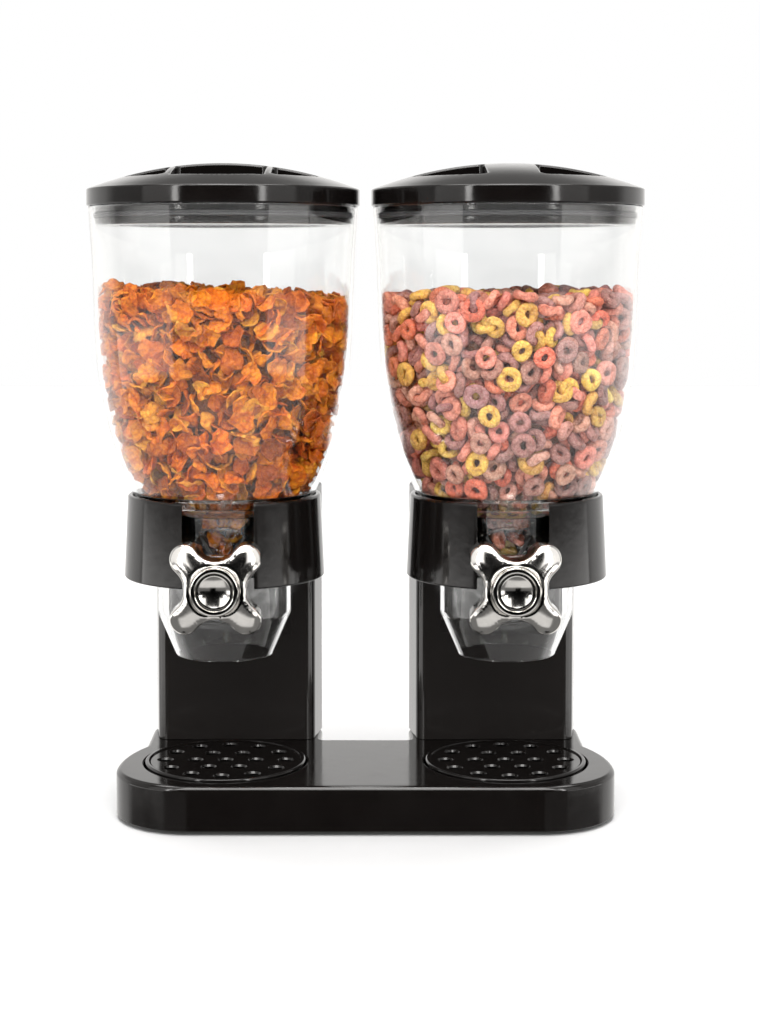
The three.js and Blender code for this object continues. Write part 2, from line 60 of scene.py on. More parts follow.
# ------------------------------------------------------------------ measures from the frame
def span(node):
    low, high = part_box(node)
    return np.array(low) / MM, np.array(high) / MM


def middle(node):
    low, high = span(node)
    return (low + high) / 2


AXIS = {name: middle(f"canister_{name}")[0] for _, name in SIDES}
AXIS_X = AXIS["right"]
WHEEL_Z = middle("wheel_hub_right")[2]
BASE_LOW, BASE_HIGH = span("base_shell")
COLUMN_LOW, COLUMN_HIGH = span("column_right")
COLLAR_LOW, COLLAR_HIGH = span("collar_right")
HOPPER_LOW, HOPPER_HIGH = span("canister_right")
LID_LOW, LID_HIGH = span("lid_cap_right")
PLUG_LOW, PLUG_HIGH = span("lid_plug_right")
GRID_LOW, GRID_HIGH = span("crumb_grid_right")
DISH_LOW, DISH_HIGH = span("crumb_dish_right")
SPOUT_LOW, SPOUT_HIGH = span("spout_right")
KNOB_LOW, KNOB_HIGH = span("knob_right")

BASE = dict(corner=48, side=102.3, turn=0.4995, back_half=138.8, back_corner=6, notch_half=28.2,
            notch_y=53.4, wall=2.5, fillet=3.2, well=50, well_wall=2, well_floor=8)
SCREWS = [(i * 130, y) for i in (-1, 0, 1) for y in (-38, 75 if i else 40)]
FEET = [(x, y) for x in (-112, 112) for y in (-38, 62)]
COLUMN = dict(centre=82.7, front=51.5, front_half=49.5, back_half=54.6, corner=7, wall=2.5,
              floor=3, cover=2.2)
COLUMN_SCREWS = [(-28, 72), (28, 72)]
COLLAR = dict(top_r=58.6, bottom_r=60.9, wall=3, ledge_top=159.5, ledge=2.5, ledge_r=43, slot=42,
              tongue_half=15, tongue_back=70, tongue_bottom=155, tongue_top=185)
BOWL = [(55, 195), (61.4, 210), (69, 232), (75.2, 262), (77.8, 290), (79.4, 335), (81.6, 369)]
HOPPER = dict(wall=2.2, skirt_r=50, skirt_top=190)
FUNNEL = dict(seat_r=47.4, seat_z=189.6, shoulder_r=52.4, shoulder_z=195, rim_r=53.2, top=197,
              floor_top=184, floor_r=26, thickness=2, throat_x=28, throat_y=40)
DRUM = dict(r=29, wall=2, half=24, neck_top=181.7, neck_x=32, outlet_x=34)
SPOUT = dict(flange_r=46.5, flange=3, r=40.5, wall=2, cone_top=122, outlet_r=29.8,
             shaft_hole=6)
WHEEL = dict(r=26.2, half=20, hub_r=7, blades=6)
SPINDLE = dict(r=3.2, front=70, back=-27.5, journal=4)
KNOB = dict(back=62.5, front=82.5, lobe_x=17.8, lobe_z=17.5, lobe_r=8.6, waist_x=17.9,
            waist_z=16.8, ring_r=13.9, dish_r=10.7, dish=79, bore=3.5)
LID = dict(fall=0.00233, shell=2.5, pocket_r=61, pocket_floor=376, bar=15.5, rib_x=29, rib=4,
           pocket_wall=2, turn=math.pi)
PLUG = dict(r=77.2, wall=1.8, flange_r=79.7, groove_z=363.5)
GASKET = dict(r=78.4, half=1.5, inner=76)
GRID = dict(spigot_r=46, thickness=2.2, hole=4.25)
GAP = 0.3


# ------------------------------------------------------------------ outlines and profiles
def unit(vector):
    return vector / max(np.linalg.norm(vector), 1e-12)


def rounded(corners, steps=5, closed=False):
    """A polyline of (a, b, fillet) corners, with an arc of that radius at each."""
    out, count = [], len(corners)
    for i, (a, b, fillet) in enumerate(corners):
        p = np.array([a, b], float)
        if fillet <= 0 or (not closed and i in (0, count - 1)):
            out.append(p)
            continue
        to_last = np.array(corners[i - 1][:2], float) - p
        to_next = np.array(corners[(i + 1) % count][:2], float) - p
        u, v = unit(to_last), unit(to_next)
        half = math.acos(np.clip(u @ v, -1, 1)) / 2
        if half > math.pi / 2 - 0.01:
            out.append(p)
            continue
        reach = min(fillet / math.tan(half), 0.49 * np.linalg.norm(to_last),
                    0.49 * np.linalg.norm(to_next))
        radius = reach * math.tan(half)
        centre = p + unit(u + v) * radius / math.sin(half)
        start, end = p + u * reach - centre, p + v * reach - centre
        sweep = math.pi - 2 * half
        for k in range(steps + 1):
            t = k / steps
            out.append(centre + (start * math.sin((1 - t) * sweep) + end * math.sin(t * sweep))
                       / math.sin(sweep))
    return np.array(out)


def arc(cx, cy, r, start, end, steps):
    angle = np.linspace(start, end, steps + 1)
    return np.column_stack([cx + r * np.cos(angle), cy + r * np.sin(angle)])


def circle(r, segments, x=0, y=0):
    return arc(x, y, r, 0, 2 * math.pi, segments)[:-1]


def offset(outline, distance):
    """A closed counter-clockwise outline moved in by a distance."""
    ahead = np.roll(outline, -1, 0) - outline
    ahead /= np.linalg.norm(ahead, axis=1, keepdims=True)
    normal = np.column_stack([-ahead[:, 1], ahead[:, 0]])
    both = normal + np.roll(normal, 1, 0)
    both /= np.linalg.norm(both, axis=1, keepdims=True)
    lean = np.clip((both * normal).sum(1), 0.5, 1)
    return outline + both * (distance / lean)[:, None]


def quarter(r, steps=6):
    """(inset, drop) pairs over a rounded edge, from the side to the top."""
    angle = np.linspace(0, math.pi / 2, steps + 1)
    return [(r * (1 - math.cos(a)), r * (1 - math.sin(a))) for a in angle]


def spline(control, count):
    """Points on the uniform Catmull-Rom curve through the control points."""
    control = np.array(control, float)
    padded = np.vstack([control[:1], control, control[-1:]])
    out = []
    for s in np.linspace(0, len(control) - 1, count):
        i = min(int(s), len(control) - 2)
        t = s - i
        a, b, c, d = padded[i:i + 4]
        out.append(0.5 * (2 * b + (c - a) * t + (2 * a - 5 * b + 4 * c - d) * t * t
                          + (3 * b - a - 3 * c + d) * t ** 3))
    return np.array(out)


def inside(points, outline):
    """Which points lie inside a closed outline."""
    x, y = points[:, 0][:, None], points[:, 1][:, None]
    ax, ay = outline[:, 0], outline[:, 1]
    bx, by = np.roll(ax, -1), np.roll(ay, -1)
    crosses = (ay > y) != (by > y)
    with np.errstate(divide="ignore", invalid="ignore"):
        at = ax + (y - ay) * (bx - ax) / (by - ay)
    return (crosses & (x < at)).sum(1) % 2 == 1


# ------------------------------------------------------------------ building closed meshes
class Solid:
    """Loops of points, and the faces between them."""

    def __init__(self):
        self.points, self.faces = [], []

    def loop(self, outline, height=None):
        start = len(self.points)
        if height is None:
            self.points += [tuple(map(float, p)) for p in outline]
        else:
            heights = np.broadcast_to(height, len(outline))
            self.points += [(float(p[0]), float(p[1]), float(h))
                            for p, h in zip(outline, heights)]
        return list(range(start, len(self.points)))

    def bridge(self, a, b):
        if len(a) == 1 or len(b) == 1:
            ring, pole = (b, a[0]) if len(a) == 1 else (a, b[0])
            self.faces += [(ring[i - 1], ring[i], pole) for i in range(len(ring))]
        else:
            self.faces += [(a[i - 1], a[i], b[i], b[i - 1]) for i in range(len(a))]

    def walls(self, loops):
        for a, b in zip(loops, loops[1:]):
            self.bridge(a, b)

    def cap(self, outer, holes=(), extra=()):
        """Fills the region, seen in plan, between an outer loop and its holes."""
        used, edges = [], []
        for ring in (outer, *holes):
            start = len(used)
            used += ring
            edges += [(start + k, start + (k + 1) % len(ring)) for k in range(len(ring))]
        used += list(extra)
        flat = np.array([self.points[i][:2] for i in used])
        made = delaunay_2d_cdt([Vector(p) for p in flat], edges, [], 1, 1e-6)
        triangles = np.array([[made[3][i][0] for i in f] for f in made[2]])
        centres = flat[triangles].mean(1)
        keep = np.ones(len(triangles), bool)
        for ring in holes:
            keep &= ~inside(centres, np.array([self.points[i][:2] for i in ring]))
        self.faces += [tuple(used[i] for i in t) for t in triangles[keep]]

    def turned(self, profile, segments, closed=False):
        """Turns (radius, height) points about the vertical axis."""
        loops = []
        for r, h in profile:
            if r < 1e-6:
                loops.append(self.loop([(0, 0, h)]))
            else:
                loops.append(self.loop(circle(r, segments), h))
        if closed:
            loops.append(loops[0])
        self.walls(loops)
        return self

    def object(self, name="solid"):
        mesh = bpy.data.meshes.new(name)
        mesh.from_pydata(self.points, [], self.faces)
        work = bmesh.new()
        work.from_mesh(mesh)
        bmesh.ops.recalc_face_normals(work, faces=work.faces)
        work.to_mesh(mesh)
        work.free()
        made = bpy.data.objects.new(name, mesh)
        bpy.context.scene.collection.objects.link(made)
        return made


def turned(profile, segments=FINE, closed=False):
    return Solid().turned(profile, segments, closed).object()


def raised(outline, levels, holes=()):
    """A closed outline raised through (inset, height) levels; holes are outlines cut through."""
    solid = Solid()
    outers = [solid.loop(offset(outline, inset), h) for inset, h in levels]
    solid.walls(outers)
    low, high = levels[0][1], levels[-1][1]
    tops, bottoms = [], []
    for hole in holes:
        bottoms.append(solid.loop(hole, low))
        tops.append(solid.loop(hole, high))
        solid.bridge(bottoms[-1], tops[-1])
    solid.cap(outers[-1], tops)
    solid.cap(outers[0], bottoms)
    return solid.object()


def slab(outline, low, high, edge, holes=(), steps=3):
    levels = [(i, low + d) for i, d in quarter(edge, steps)][::-1]
    levels += [(i, high - d) for i, d in quarter(edge, steps)]
    return raised(outline, levels, holes)


def box(x0, x1, y0, y1, z0, z1, corner=0.0, edge=0.0):
    corners = [(x0, y0, corner), (x1, y0, corner), (x1, y1, corner), (x0, y1, corner)]
    outline = rounded(corners, 5, closed=True)
    if edge:
        return slab(outline, z0, z1, edge)
    return raised(outline, [(0, z0), (0, z1)])


def rod(r, low, high, segments=MEDIUM, x=0, y=0):
    return raised(circle(r, segments, x, y), [(0, low), (0, high)])


def move(obj, matrix):
    obj.data.transform(matrix)
    return obj


FACING = Matrix.Translation((0, 0, WHEEL_Z)) @ Matrix.Rotation(math.pi / 2, 4, "X")


def facing(obj):
    """Turns a piece built along +Z so that it points forward, along -Y, on the wheel's axis."""
    return move(obj, FACING)


def applied(obj):
    """The object's mesh with its modifiers applied."""
    graph = bpy.context.evaluated_depsgraph_get()
    mesh = bpy.data.meshes.new_from_object(obj.evaluated_get(graph))
    obj.modifiers.clear()
    old, obj.data = obj.data, mesh
    bpy.data.meshes.remove(old)
    return obj


def combine(obj, other, operation):
    change = obj.modifiers.new("combine", "BOOLEAN")
    change.object, change.operation, change.solver = other, operation, "EXACT"
    applied(obj)
    mesh = other.data
    bpy.data.objects.remove(other)
    bpy.data.meshes.remove(mesh)
    return obj


def cut(obj, *others):
    for other in others:
        combine(obj, other, "DIFFERENCE")
    return obj


def join(obj, *others):
    for other in others:
        combine(obj, other, "UNION")
    return obj


def eased(obj, width, segments=2, angle=40):
    """Rounds the sharp edges of a piece made by cutting."""
    work = bmesh.new()
    work.from_mesh(obj.data)
    bmesh.ops.remove_doubles(work, verts=work.verts, dist=0.002)
    bmesh.ops.dissolve_limit(work, angle_limit=math.radians(0.2), verts=work.verts,
                             edges=work.edges)
    work.to_mesh(obj.data)
    work.free()
    change = obj.modifiers.new("ease", "BEVEL")
    change.width, change.segments = width, segments
    change.limit_method, change.angle_limit = "ANGLE", math.radians(angle)
    change.use_clamp_overlap = True
    change.harden_normals = False
    return applied(obj)


def put(proto, name, finish, body, x=0.0, turn=0.0):
    """Makes a piece of the object from a shape in millimetres."""
    mesh = proto.data.copy()
    mesh.name = name
    place = Matrix.Translation((x, 0, 0)) @ Matrix.Rotation(turn, 4, "Z")
    mesh.transform(Matrix.Scale(MM, 4) @ place)
    work = bmesh.new()
    work.from_mesh(mesh)
    for face in work.faces:
        face.smooth = True
    for edge in work.edges:
        edge.smooth = edge.calc_face_angle(0) < math.radians(38)
    work.to_mesh(mesh)
    work.free()
    mesh.materials.clear()
    mesh.materials.append(finish)
    piece = bpy.data.objects.new(name + "_look", mesh)
    bpy.context.scene.collection.objects.link(piece)
    piece.modifiers.new("normals", "WEIGHTED_NORMAL").keep_sharp = True
    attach(piece, body)
    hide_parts(name)
    return piece


def drop(*protos):
    for proto in protos:
        mesh = proto.data
        bpy.data.objects.remove(proto)
        bpy.data.meshes.remove(mesh)


# ------------------------------------------------------------------ materials
class Tree:
    """A node tree, written one node at a time."""

    def __init__(self, tree):
        self.tree = tree
        tree.nodes.clear()

    def node(self, kind, values=None, **settings):
        made = self.tree.nodes.new("ShaderNode" + kind)
        for key, value in settings.items():
            setattr(made, key, value)
        for key, value in (values or {}).items():
            if isinstance(value, bpy.types.NodeSocket):
                self.tree.links.new(value, made.inputs[key])
            else:
                made.inputs[key].default_value = value
        return made

    def out(self, kind, values=None, socket=0, **settings):
        return self.node(kind, values, **settings).outputs[socket]

    def math(self, operation, a, b=0.0, c=0.0):
        return self.out("Math", {0: a, 1: b, 2: c}, operation=operation)

    def place(self):
        return self.out("TexCoord", socket="Object")

    def noise(self, scale, detail=3.0, roughness=0.5, at=None, colour=False):
        return self.out("TexNoise", {"Vector": at or self.place(), "Scale": scale,
                                     "Detail": detail, "Roughness": roughness},
                        socket="Color" if colour else 0)

    def ranged(self, value, low, high, to_low=0.0, to_high=1.0, smooth=False):
        return self.out("MapRange", {"Value": value, "From Min": low, "From Max": high,
                                     "To Min": to_low, "To Max": to_high},
                        interpolation_type="SMOOTHSTEP" if smooth else "LINEAR")

    def mixed(self, factor, a, b, blend="MIX"):
        made = self.tree.nodes.new("ShaderNodeMix")
        made.data_type, made.blend_type = "RGBA", blend
        for index, value in ((0, factor), (6, a), (7, b)):
            if isinstance(value, bpy.types.NodeSocket):
                self.tree.links.new(value, made.inputs[index])
            else:
                made.inputs[index].default_value = value
        return made.outputs[2]

    def bump(self, height, strength, distance, normal=None):
        values = {"Height": height, "Strength": strength, "Distance": distance}
        if normal:
            values["Normal"] = normal
        return self.out("Bump", values)


def material(name):
    made = bpy.data.materials.new(name)
    made.use_nodes = True
    made["slot"] = name
    return made, Tree(made.node_tree)


def surface(tree, shader):
    tree.node("OutputMaterial", {"Surface": shader})


def moulded(name, dark, light, smooth, rough, scratch=0.25, coat=0.0):
    """Injection-moulded plastic: flow mottling, faint smears, hairline scratches, paler edges."""
    made, tree = material(name)
    at = tree.place()
    mottle = tree.noise(34, 4, 0.6)
    smear = tree.noise(90, 2, 0.5, at=tree.out("Mapping", {"Vector": at, "Scale": (1, 1, 0.25)}))
    hairs = tree.out("TexNoise", {"Vector": tree.out("Mapping", {
        "Vector": at, "Rotation": (0.5, 0.9, 0.4), "Scale": (0.06, 1, 1)}),
        "Scale": 2600, "Detail": 1.0})
    hair = tree.ranged(hairs, 0.66, 0.74)
    worn = tree.ranged(tree.out("NewGeometry", socket="Pointiness"), 0.53, 0.62)
    base = tree.mixed(tree.ranged(mottle, 0.3, 0.7), (*dark, 1), (*light, 1))
    pale = tuple(min(1.0, 2.4 * c + 0.012) for c in light)
    base = tree.mixed(tree.math("MULTIPLY", worn, 0.5), base, (*pale, 1))
    gloss = tree.ranged(tree.math("ADD", tree.math("MULTIPLY", mottle, 0.5),
                                  tree.math("MULTIPLY", smear, 0.5)), 0.35, 0.65, smooth, rough)
    gloss = tree.math("ADD", gloss, tree.math("MULTIPLY", hair, 0.1 * scratch))
    wave = tree.bump(tree.noise(150, 2, 0.5), 0.05, 0.0006)
    grain = tree.bump(tree.noise(3000, 2, 0.5), 0.03, 0.00008, wave)
    normal = tree.bump(hair, 0.12 * scratch, 0.00004, grain)
    surface(tree, tree.out("BsdfPrincipled", {
        "Base Color": base, "Roughness": gloss, "IOR": 1.5, "Normal": normal,
        "Coat Weight": coat, "Coat Roughness": 0.05}))
    return made


def clear():
    """Clear acrylic: faint moulding waves and smears. Light passes straight through to shade."""
    made, tree = material("clear_plastic")
    smear = tree.noise(45, 4, 0.6)
    gloss = tree.ranged(smear, 0.35, 0.75, 0.012, 0.05)
    wave = tree.bump(tree.noise(28, 2, 0.4), 0.05, 0.0012)
    normal = tree.bump(tree.noise(900, 2, 0.5), 0.02, 0.00006, wave)
    tint = tree.mixed(tree.ranged(smear, 0.3, 0.7), (0.985, 0.985, 0.98, 1), (0.96, 0.965, 0.96, 1))
    body = tree.out("BsdfPrincipled", {
        "Base Color": tint, "Roughness": gloss, "IOR": 1.49, "Transmission Weight": 1.0,
        "Normal": normal})
    through = tree.out("BsdfTransparent", {"Color": (0.95, 0.95, 0.945, 1)})
    shadow = tree.out("LightPath", socket="Is Shadow Ray")
    surface(tree, tree.out("MixShader", {0: shadow, 1: body, 2: through}))
    return made


def metal(name, colour, smooth, rough, brush=0.0):
    made, tree = material(name)
    at = tree.place()
    cloud = tree.noise(120, 4, 0.6)
    lines = tree.out("TexNoise", {"Vector": tree.out("Mapping", {
        "Vector": at, "Scale": (1, 1, 0.03)}), "Scale": 4200, "Detail": 2.0})
    spots = tree.ranged(tree.noise(700, 2, 0.6), 0.68, 0.78)
    dull = tuple(0.88 * c for c in colour)
    base = tree.mixed(tree.ranged(cloud, 0.35, 0.7), (*colour, 1), (*dull, 1))
    gloss = tree.ranged(cloud, 0.3, 0.75, smooth, rough)
    gloss = tree.math("ADD", gloss, tree.math("MULTIPLY", lines, 0.25 * brush))
    gloss = tree.math("ADD", gloss, tree.math("MULTIPLY", spots, 0.1))
    normal = tree.bump(lines, 0.1 * brush, 0.00005)
    normal = tree.bump(tree.noise(260, 2, 0.5), 0.03, 0.0003, normal)
    surface(tree, tree.out("BsdfPrincipled", {
        "Base Color": base, "Metallic": 1.0, "Roughness": gloss, "Normal": normal}))
    return made


def soft_polymer(name, dark, light, roughness, grain):
    """Rubber, silicone or nylon: a matt moulded skin with dust in its pores."""
    made, tree = material(name)
    cloud = tree.noise(70, 5, 0.65)
    pores = tree.noise(1800, 2, 0.5)
    base = tree.mixed(tree.ranged(cloud, 0.3, 0.7), (*dark, 1), (*light, 1))
    base = tree.mixed(tree.ranged(pores, 0.62, 0.8, 0.0, 0.2), base,
                      (*[min(1.0, c * 1.6 + 0.02) for c in light], 1))
    gloss = tree.ranged(cloud, 0.3, 0.7, roughness - 0.06, roughness + 0.08)
    normal = tree.bump(pores, grain, 0.0001, tree.bump(cloud, 0.06, 0.0005))
    surface(tree, tree.out("BsdfPrincipled", {
        "Base Color": base, "Roughness": gloss, "Normal": normal}))
    return made


def cereal(name, scale, pit, toast_and_crease_shade, speckle, dust, roughness):
    """Baked cereal: the tint of each piece, toasted patches, painted shade darkening the creases at
    the cell borders, pits and blisters, sugar specks.
    """
    made, tree = material(name)
    tint = tree.out("VertexColor", layer_name="tint")
    patches = tree.noise(scale, 5, 0.65)
    cells = tree.out("TexVoronoi", {"Vector": tree.place(), "Scale": scale * 2.6}, socket=0)
    fine = tree.noise(scale * 9, 3, 0.6)
    base = tree.mixed(tree.ranged(patches, 0.45, 0.66, 0, 0.85), tint, (*toast_and_crease_shade, 1), "MULTIPLY")
    # painted shade: the Voronoi cell borders are darkened towards the toast colour, standing in for
    # the shade in the creases
    base = tree.mixed(tree.ranged(cells, 0.35, 0.75, 0, 0.6), base, (*toast_and_crease_shade, 1), "MULTIPLY")
    specks = tree.ranged(fine, 0.5, 0.68, 0, dust)
    base = tree.mixed(specks, base, (*speckle, 1))
    low = tree.bump(patches, 0.8, 0.0022 * pit)
    mid = tree.bump(cells, 0.7, 0.0012 * pit, low)
    normal = tree.bump(fine, 0.6, 0.0005 * pit, mid)
    gloss = tree.ranged(patches, 0.3, 0.7, roughness - 0.08, roughness + 0.12)
    surface(tree, tree.out("BsdfPrincipled", {
        "Base Color": base, "Roughness": gloss, "Normal": normal,
        "Specular IOR Level": 0.2, "Subsurface Weight": 0.05,
        "Subsurface Radius": (0.0022, 0.0011, 0.0006), "Subsurface Scale": 1.0}))
    return made


GLOSS = moulded("black_gloss", (0.0042, 0.0034, 0.0032), (0.0062, 0.0052, 0.0048), 0.07, 0.15)
SATIN = moulded("black_satin", (0.007, 0.0065, 0.0062), (0.011, 0.0098, 0.0092), 0.3, 0.42, 0.6)
CLEAR = clear()
CHROME = metal("chrome", (0.80, 0.78, 0.75), 0.09, 0.16)
STEEL = metal("steel", (0.52, 0.52, 0.53), 0.24, 0.36, brush=0.6)
RUBBER = soft_polymer("foot_rubber", (0.010, 0.010, 0.011), (0.018, 0.018, 0.019), 0.8, 0.5)
SILICONE = soft_polymer("silicone", (0.035, 0.035, 0.038), (0.055, 0.055, 0.058), 0.5, 0.2)
NYLON = soft_polymer("white_nylon", (0.66, 0.64, 0.59), (0.74, 0.72, 0.68), 0.42, 0.15)
FLAKE = cereal("flake_cereal", 170, 1.0, (0.60, 0.24, 0.05), (0.98, 0.48, 0.06), 0.25, 0.42)
RINGED = cereal("ring_cereal", 230, 0.8, (0.62, 0.44, 0.38), (0.95, 0.78, 0.6), 0.35, 0.62)


# ------------------------------------------------------------------ stand
def base_outline(steps=20):
    width, front, depth = BASE_HIGH[0], BASE_LOW[1], BASE_HIGH[1]
    b = BASE
    corner = b["corner"]
    half = np.vstack([
        arc(width - corner, front + corner, corner, -math.pi / 2, 0, steps),
        arc(width - b["side"], front + corner, b["side"], 0, b["turn"], steps)[1:],
        arc(b["back_half"] - b["back_corner"], depth - b["back_corner"], b["back_corner"],
            0, math.pi / 2, 8),
        arc(b["notch_half"] + b["back_corner"], depth - b["back_corner"], b["back_corner"],
            math.pi / 2, math.pi, 8),
        arc(b["notch_half"] - 3, b["notch_y"] + 3, 3, 0, -math.pi / 2, 5),
    ])
    return np.vstack([half, (half * (-1, 1))[::-1]])


def base_shell():
    """The stand's moulded shell, hollow below, with a round well for each crumb dish."""
    b = BASE
    solid, outline = Solid(), base_outline()
    low, high = BASE_LOW[2], BASE_HIGH[2]
    outers = [solid.loop(offset(outline, i), low + d) for i, d in quarter(0.4, 3)[::-1]]
    outers += [solid.loop(offset(outline, i), high - d) for i, d in quarter(b["fillet"], 8)]
    solid.walls(outers)
    inners = [solid.loop(offset(outline, b["wall"]), low),
              solid.loop(offset(outline, b["wall"]), high - b["wall"])]
    solid.walls([outers[0], *inners])
    above, below = [], []
    for side, _ in SIDES:
        x = side * AXIS_X
        rim = [(b["well"] + i, high - d) for i, d in quarter(1.2, 4)[::-1]]
        profile = [*rim, (b["well"], b["well_floor"] + 1.5), (b["well"] - 0.5,
                   b["well_floor"] + 0.4), (b["well"] - 1.6, b["well_floor"])]
        loops = [solid.loop(circle(r, FINE, x), h) for r, h in profile]
        solid.walls(loops)
        solid.cap(loops[-1])
        above.append(loops[0])
        outside = b["well"] + b["well_wall"]
        loops = [solid.loop(circle(outside, FINE, x), high - b["wall"]),
                 solid.loop(circle(outside, FINE, x), b["well_floor"] - b["well_wall"])]
        solid.walls(loops)
        solid.cap(loops[-1])
        below.append(loops[0])
        for sx, sy in COLUMN_SCREWS:
            hole = circle(2.3, 20, side * COLUMN["centre"] + sx, sy)
            above.append(solid.loop(hole, high))
            below.append(solid.loop(hole, high - b["wall"]))
            solid.bridge(above[-1], below[-1])
    for x, y in SCREWS:
        boss = circle(4, 20, x, y)
        loops = [solid.loop(boss, high - b["wall"]), solid.loop(boss, 5.5),
                 solid.loop(circle(1.8, 20, x, y), 5.5), solid.loop(circle(1.8, 20, x, y), 16)]
        solid.walls(loops)
        solid.cap(loops[-1])
        below.append(loops[0])
    solid.cap(outers[-1], above)
    solid.cap(inners[-1], below)
    return solid.object()


def base_plate():
    low, high = span("base_plate")
    holes = [circle(2.2, 20, x, y) for x, y in SCREWS] + [circle(2.3, 20, x, y) for x, y in FEET]
    return slab(offset(base_outline(), 3), low[2], high[2], 0.4, holes)


def foot(x, y):
    low, high = span("foot_1")
    r = (high[0] - low[0]) / 2
    profile = [(0, 0.6), (2.6, 0.6), (3.0, 0), (4.2, 0), (4.6, 0.5), (5.2, 0.5), (5.6, 0)]
    profile += list(rounded([(r - 1.4, 0, 0), (r, 0.2, 0.9), (r, 2.3, 0.4), (2, 2.3, 0.2),
                             (2, high[2], 0.4), (0, high[2], 0)], 4))
    return move(turned(profile, SMALL), Matrix.Translation((x, y, 0)))


def screw(head_r, head, shank_r, length, segments=SMALL):
    """A pan-head screw with a cross recess, head down."""
    profile = rounded([(0, 0, 0), (head_r * 0.8, 0, 0.5), (head_r, head * 0.5, 0.6),
                       (head_r, head, 0.2), (shank_r, head, 0.2), (shank_r, length - 1.5, 0.3),
                       (shank_r * 0.4, length, 0.2), (0, length, 0)], 4)
    body = turned(profile, segments)
    width = head_r * 0.16
    arms = join(box(-head_r * 0.55, head_r * 0.55, -width, width, -1, head * 0.55),
                box(-width, width, -head_r * 0.55, head_r * 0.55, -1, head * 0.55))
    return eased(cut(body, arms), 0.08, 1, 50)


def column_outline():
    c = COLUMN
    depth = COLUMN_HIGH[1]
    right = rounded([(0, c["front"], 0), (c["front_half"], c["front"], c["corner"]),
                     (c["back_half"], depth, 3.2), (0, depth, 0)], 8)[1:-1]
    return np.vstack([right, (right * (-1, 1))[::-1]])


def column(shift):
    """A hollow column, open behind, with a saddle at the top that the collar sits in."""
    c = COLUMN
    low, high = COLUMN_LOW[2], COLUMN_HIGH[2]
    depth = COLUMN_HIGH[1]
    outline = column_outline()
    half = c["back_half"]
    body = raised(outline, [(0, low)] + [(i, high - d) for i, d in quarter(1.6, 4)])
    pocket_r = COLLAR["bottom_r"] + GAP
    cavity = raised(offset(outline, c["wall"]), [(0, low + c["floor"]), (0, high - c["wall"])])
    cavity = cut(cavity, rod(pocket_r + c["wall"], COLLAR_LOW[2] - GAP - c["wall"], high,
                             FINE, shift))
    rear = box(-half + c["wall"], half - c["wall"], depth - c["cover"] - GAP, depth + 1,
               low + c["floor"], high - c["wall"], 1.5)
    pocket = rod(pocket_r, COLLAR_LOW[2] - GAP, high + 1, FINE, shift)
    tongue_half = COLLAR["tongue_half"] + GAP
    tongue = box(shift - tongue_half, shift + tongue_half, 40, COLLAR["tongue_back"] + GAP,
                 COLLAR["tongue_bottom"] - GAP, COLLAR["tongue_top"] + GAP)
    cut(body, cavity, rear, pocket, tongue)
    cut(body, *[rod(2, low - 1, low + c["floor"] + 1, 20, x, y) for x, y in COLUMN_SCREWS])
    return eased(body, 0.45, 2, 35)


def column_back():
    """The cover behind a column, with six slots through it and a raised border."""
    low, high = span("column_back_right")
    x = (high[0] - low[0]) / 2
    height, thick = high[2] - low[2], high[1] - low[1]

    def frame_line(i):
        return rounded([(-x + i, i, 1), (x - i, i, 1), (x - i, height - i, 1),
                        (-x + i, height - i, 1)], 4, closed=True)

    solid = Solid()
    loops = [solid.loop(frame_line(i), h) for i, h in
             ((0.3, 0), (0, 0.3), (0, thick - 0.5), (0.5, thick), (5, thick), (5.6, thick - 0.6))]
    solid.walls(loops)
    slots = []
    for k in range(6):
        z = height - 22 - 7 * k
        slot = rounded([(-26, z, 1.4), (26, z, 1.4), (26, z + 3, 1.4), (-26, z + 3, 1.4)], 4,
                       closed=True)
        pair = [solid.loop(slot, thick - 0.6), solid.loop(slot, 0)]
        solid.walls(pair)
        slots.append(pair)
    solid.cap(loops[-1], [p[0] for p in slots])
    solid.cap(loops[0], [p[1] for p in slots])
    # built lying down with its face up; the face turns to the back
    turn = Matrix.Translation((0, low[1], low[2])) @ Matrix(
        ((-1, 0, 0, 0), (0, 0, 1, 0), (0, 1, 0, 0), (0, 0, 0, 1)))
    return move(solid.object(), turn)


def collar():
    """A C-shaped ring, open in front, with a ledge that the hopper rests on."""
    c = COLLAR
    low, high = COLLAR_LOW[2], COLLAR_HIGH[2]
    inner, wall = c["bottom_r"] - c["wall"], c["wall"]
    ring = turned(rounded([
        (inner, low, 0.5), (c["bottom_r"], low, 1.0), (c["top_r"], high, 1.7),
        (c["top_r"] - wall, high, 0.8), (inner, c["ledge_top"], 0.8),
        (c["ledge_r"], c["ledge_top"], 0.6), (c["ledge_r"], c["ledge_top"] - c["ledge"], 0.6),
        (inner, c["ledge_top"] - c["ledge"], 0.8)], 6, closed=True), FINE, closed=True)
    half = c["tongue_half"]
    join(ring, box(-half, half, inner + 1, c["tongue_back"], c["tongue_bottom"], c["tongue_top"]))
    cut(ring, box(-c["slot"] / 2, c["slot"] / 2, -70, -30, low - 1, high + 1))
    return eased(ring, 0.6, 3, 50)


# ------------------------------------------------------------------ hopper
BOWL_LINE = spline(BOWL, 90)


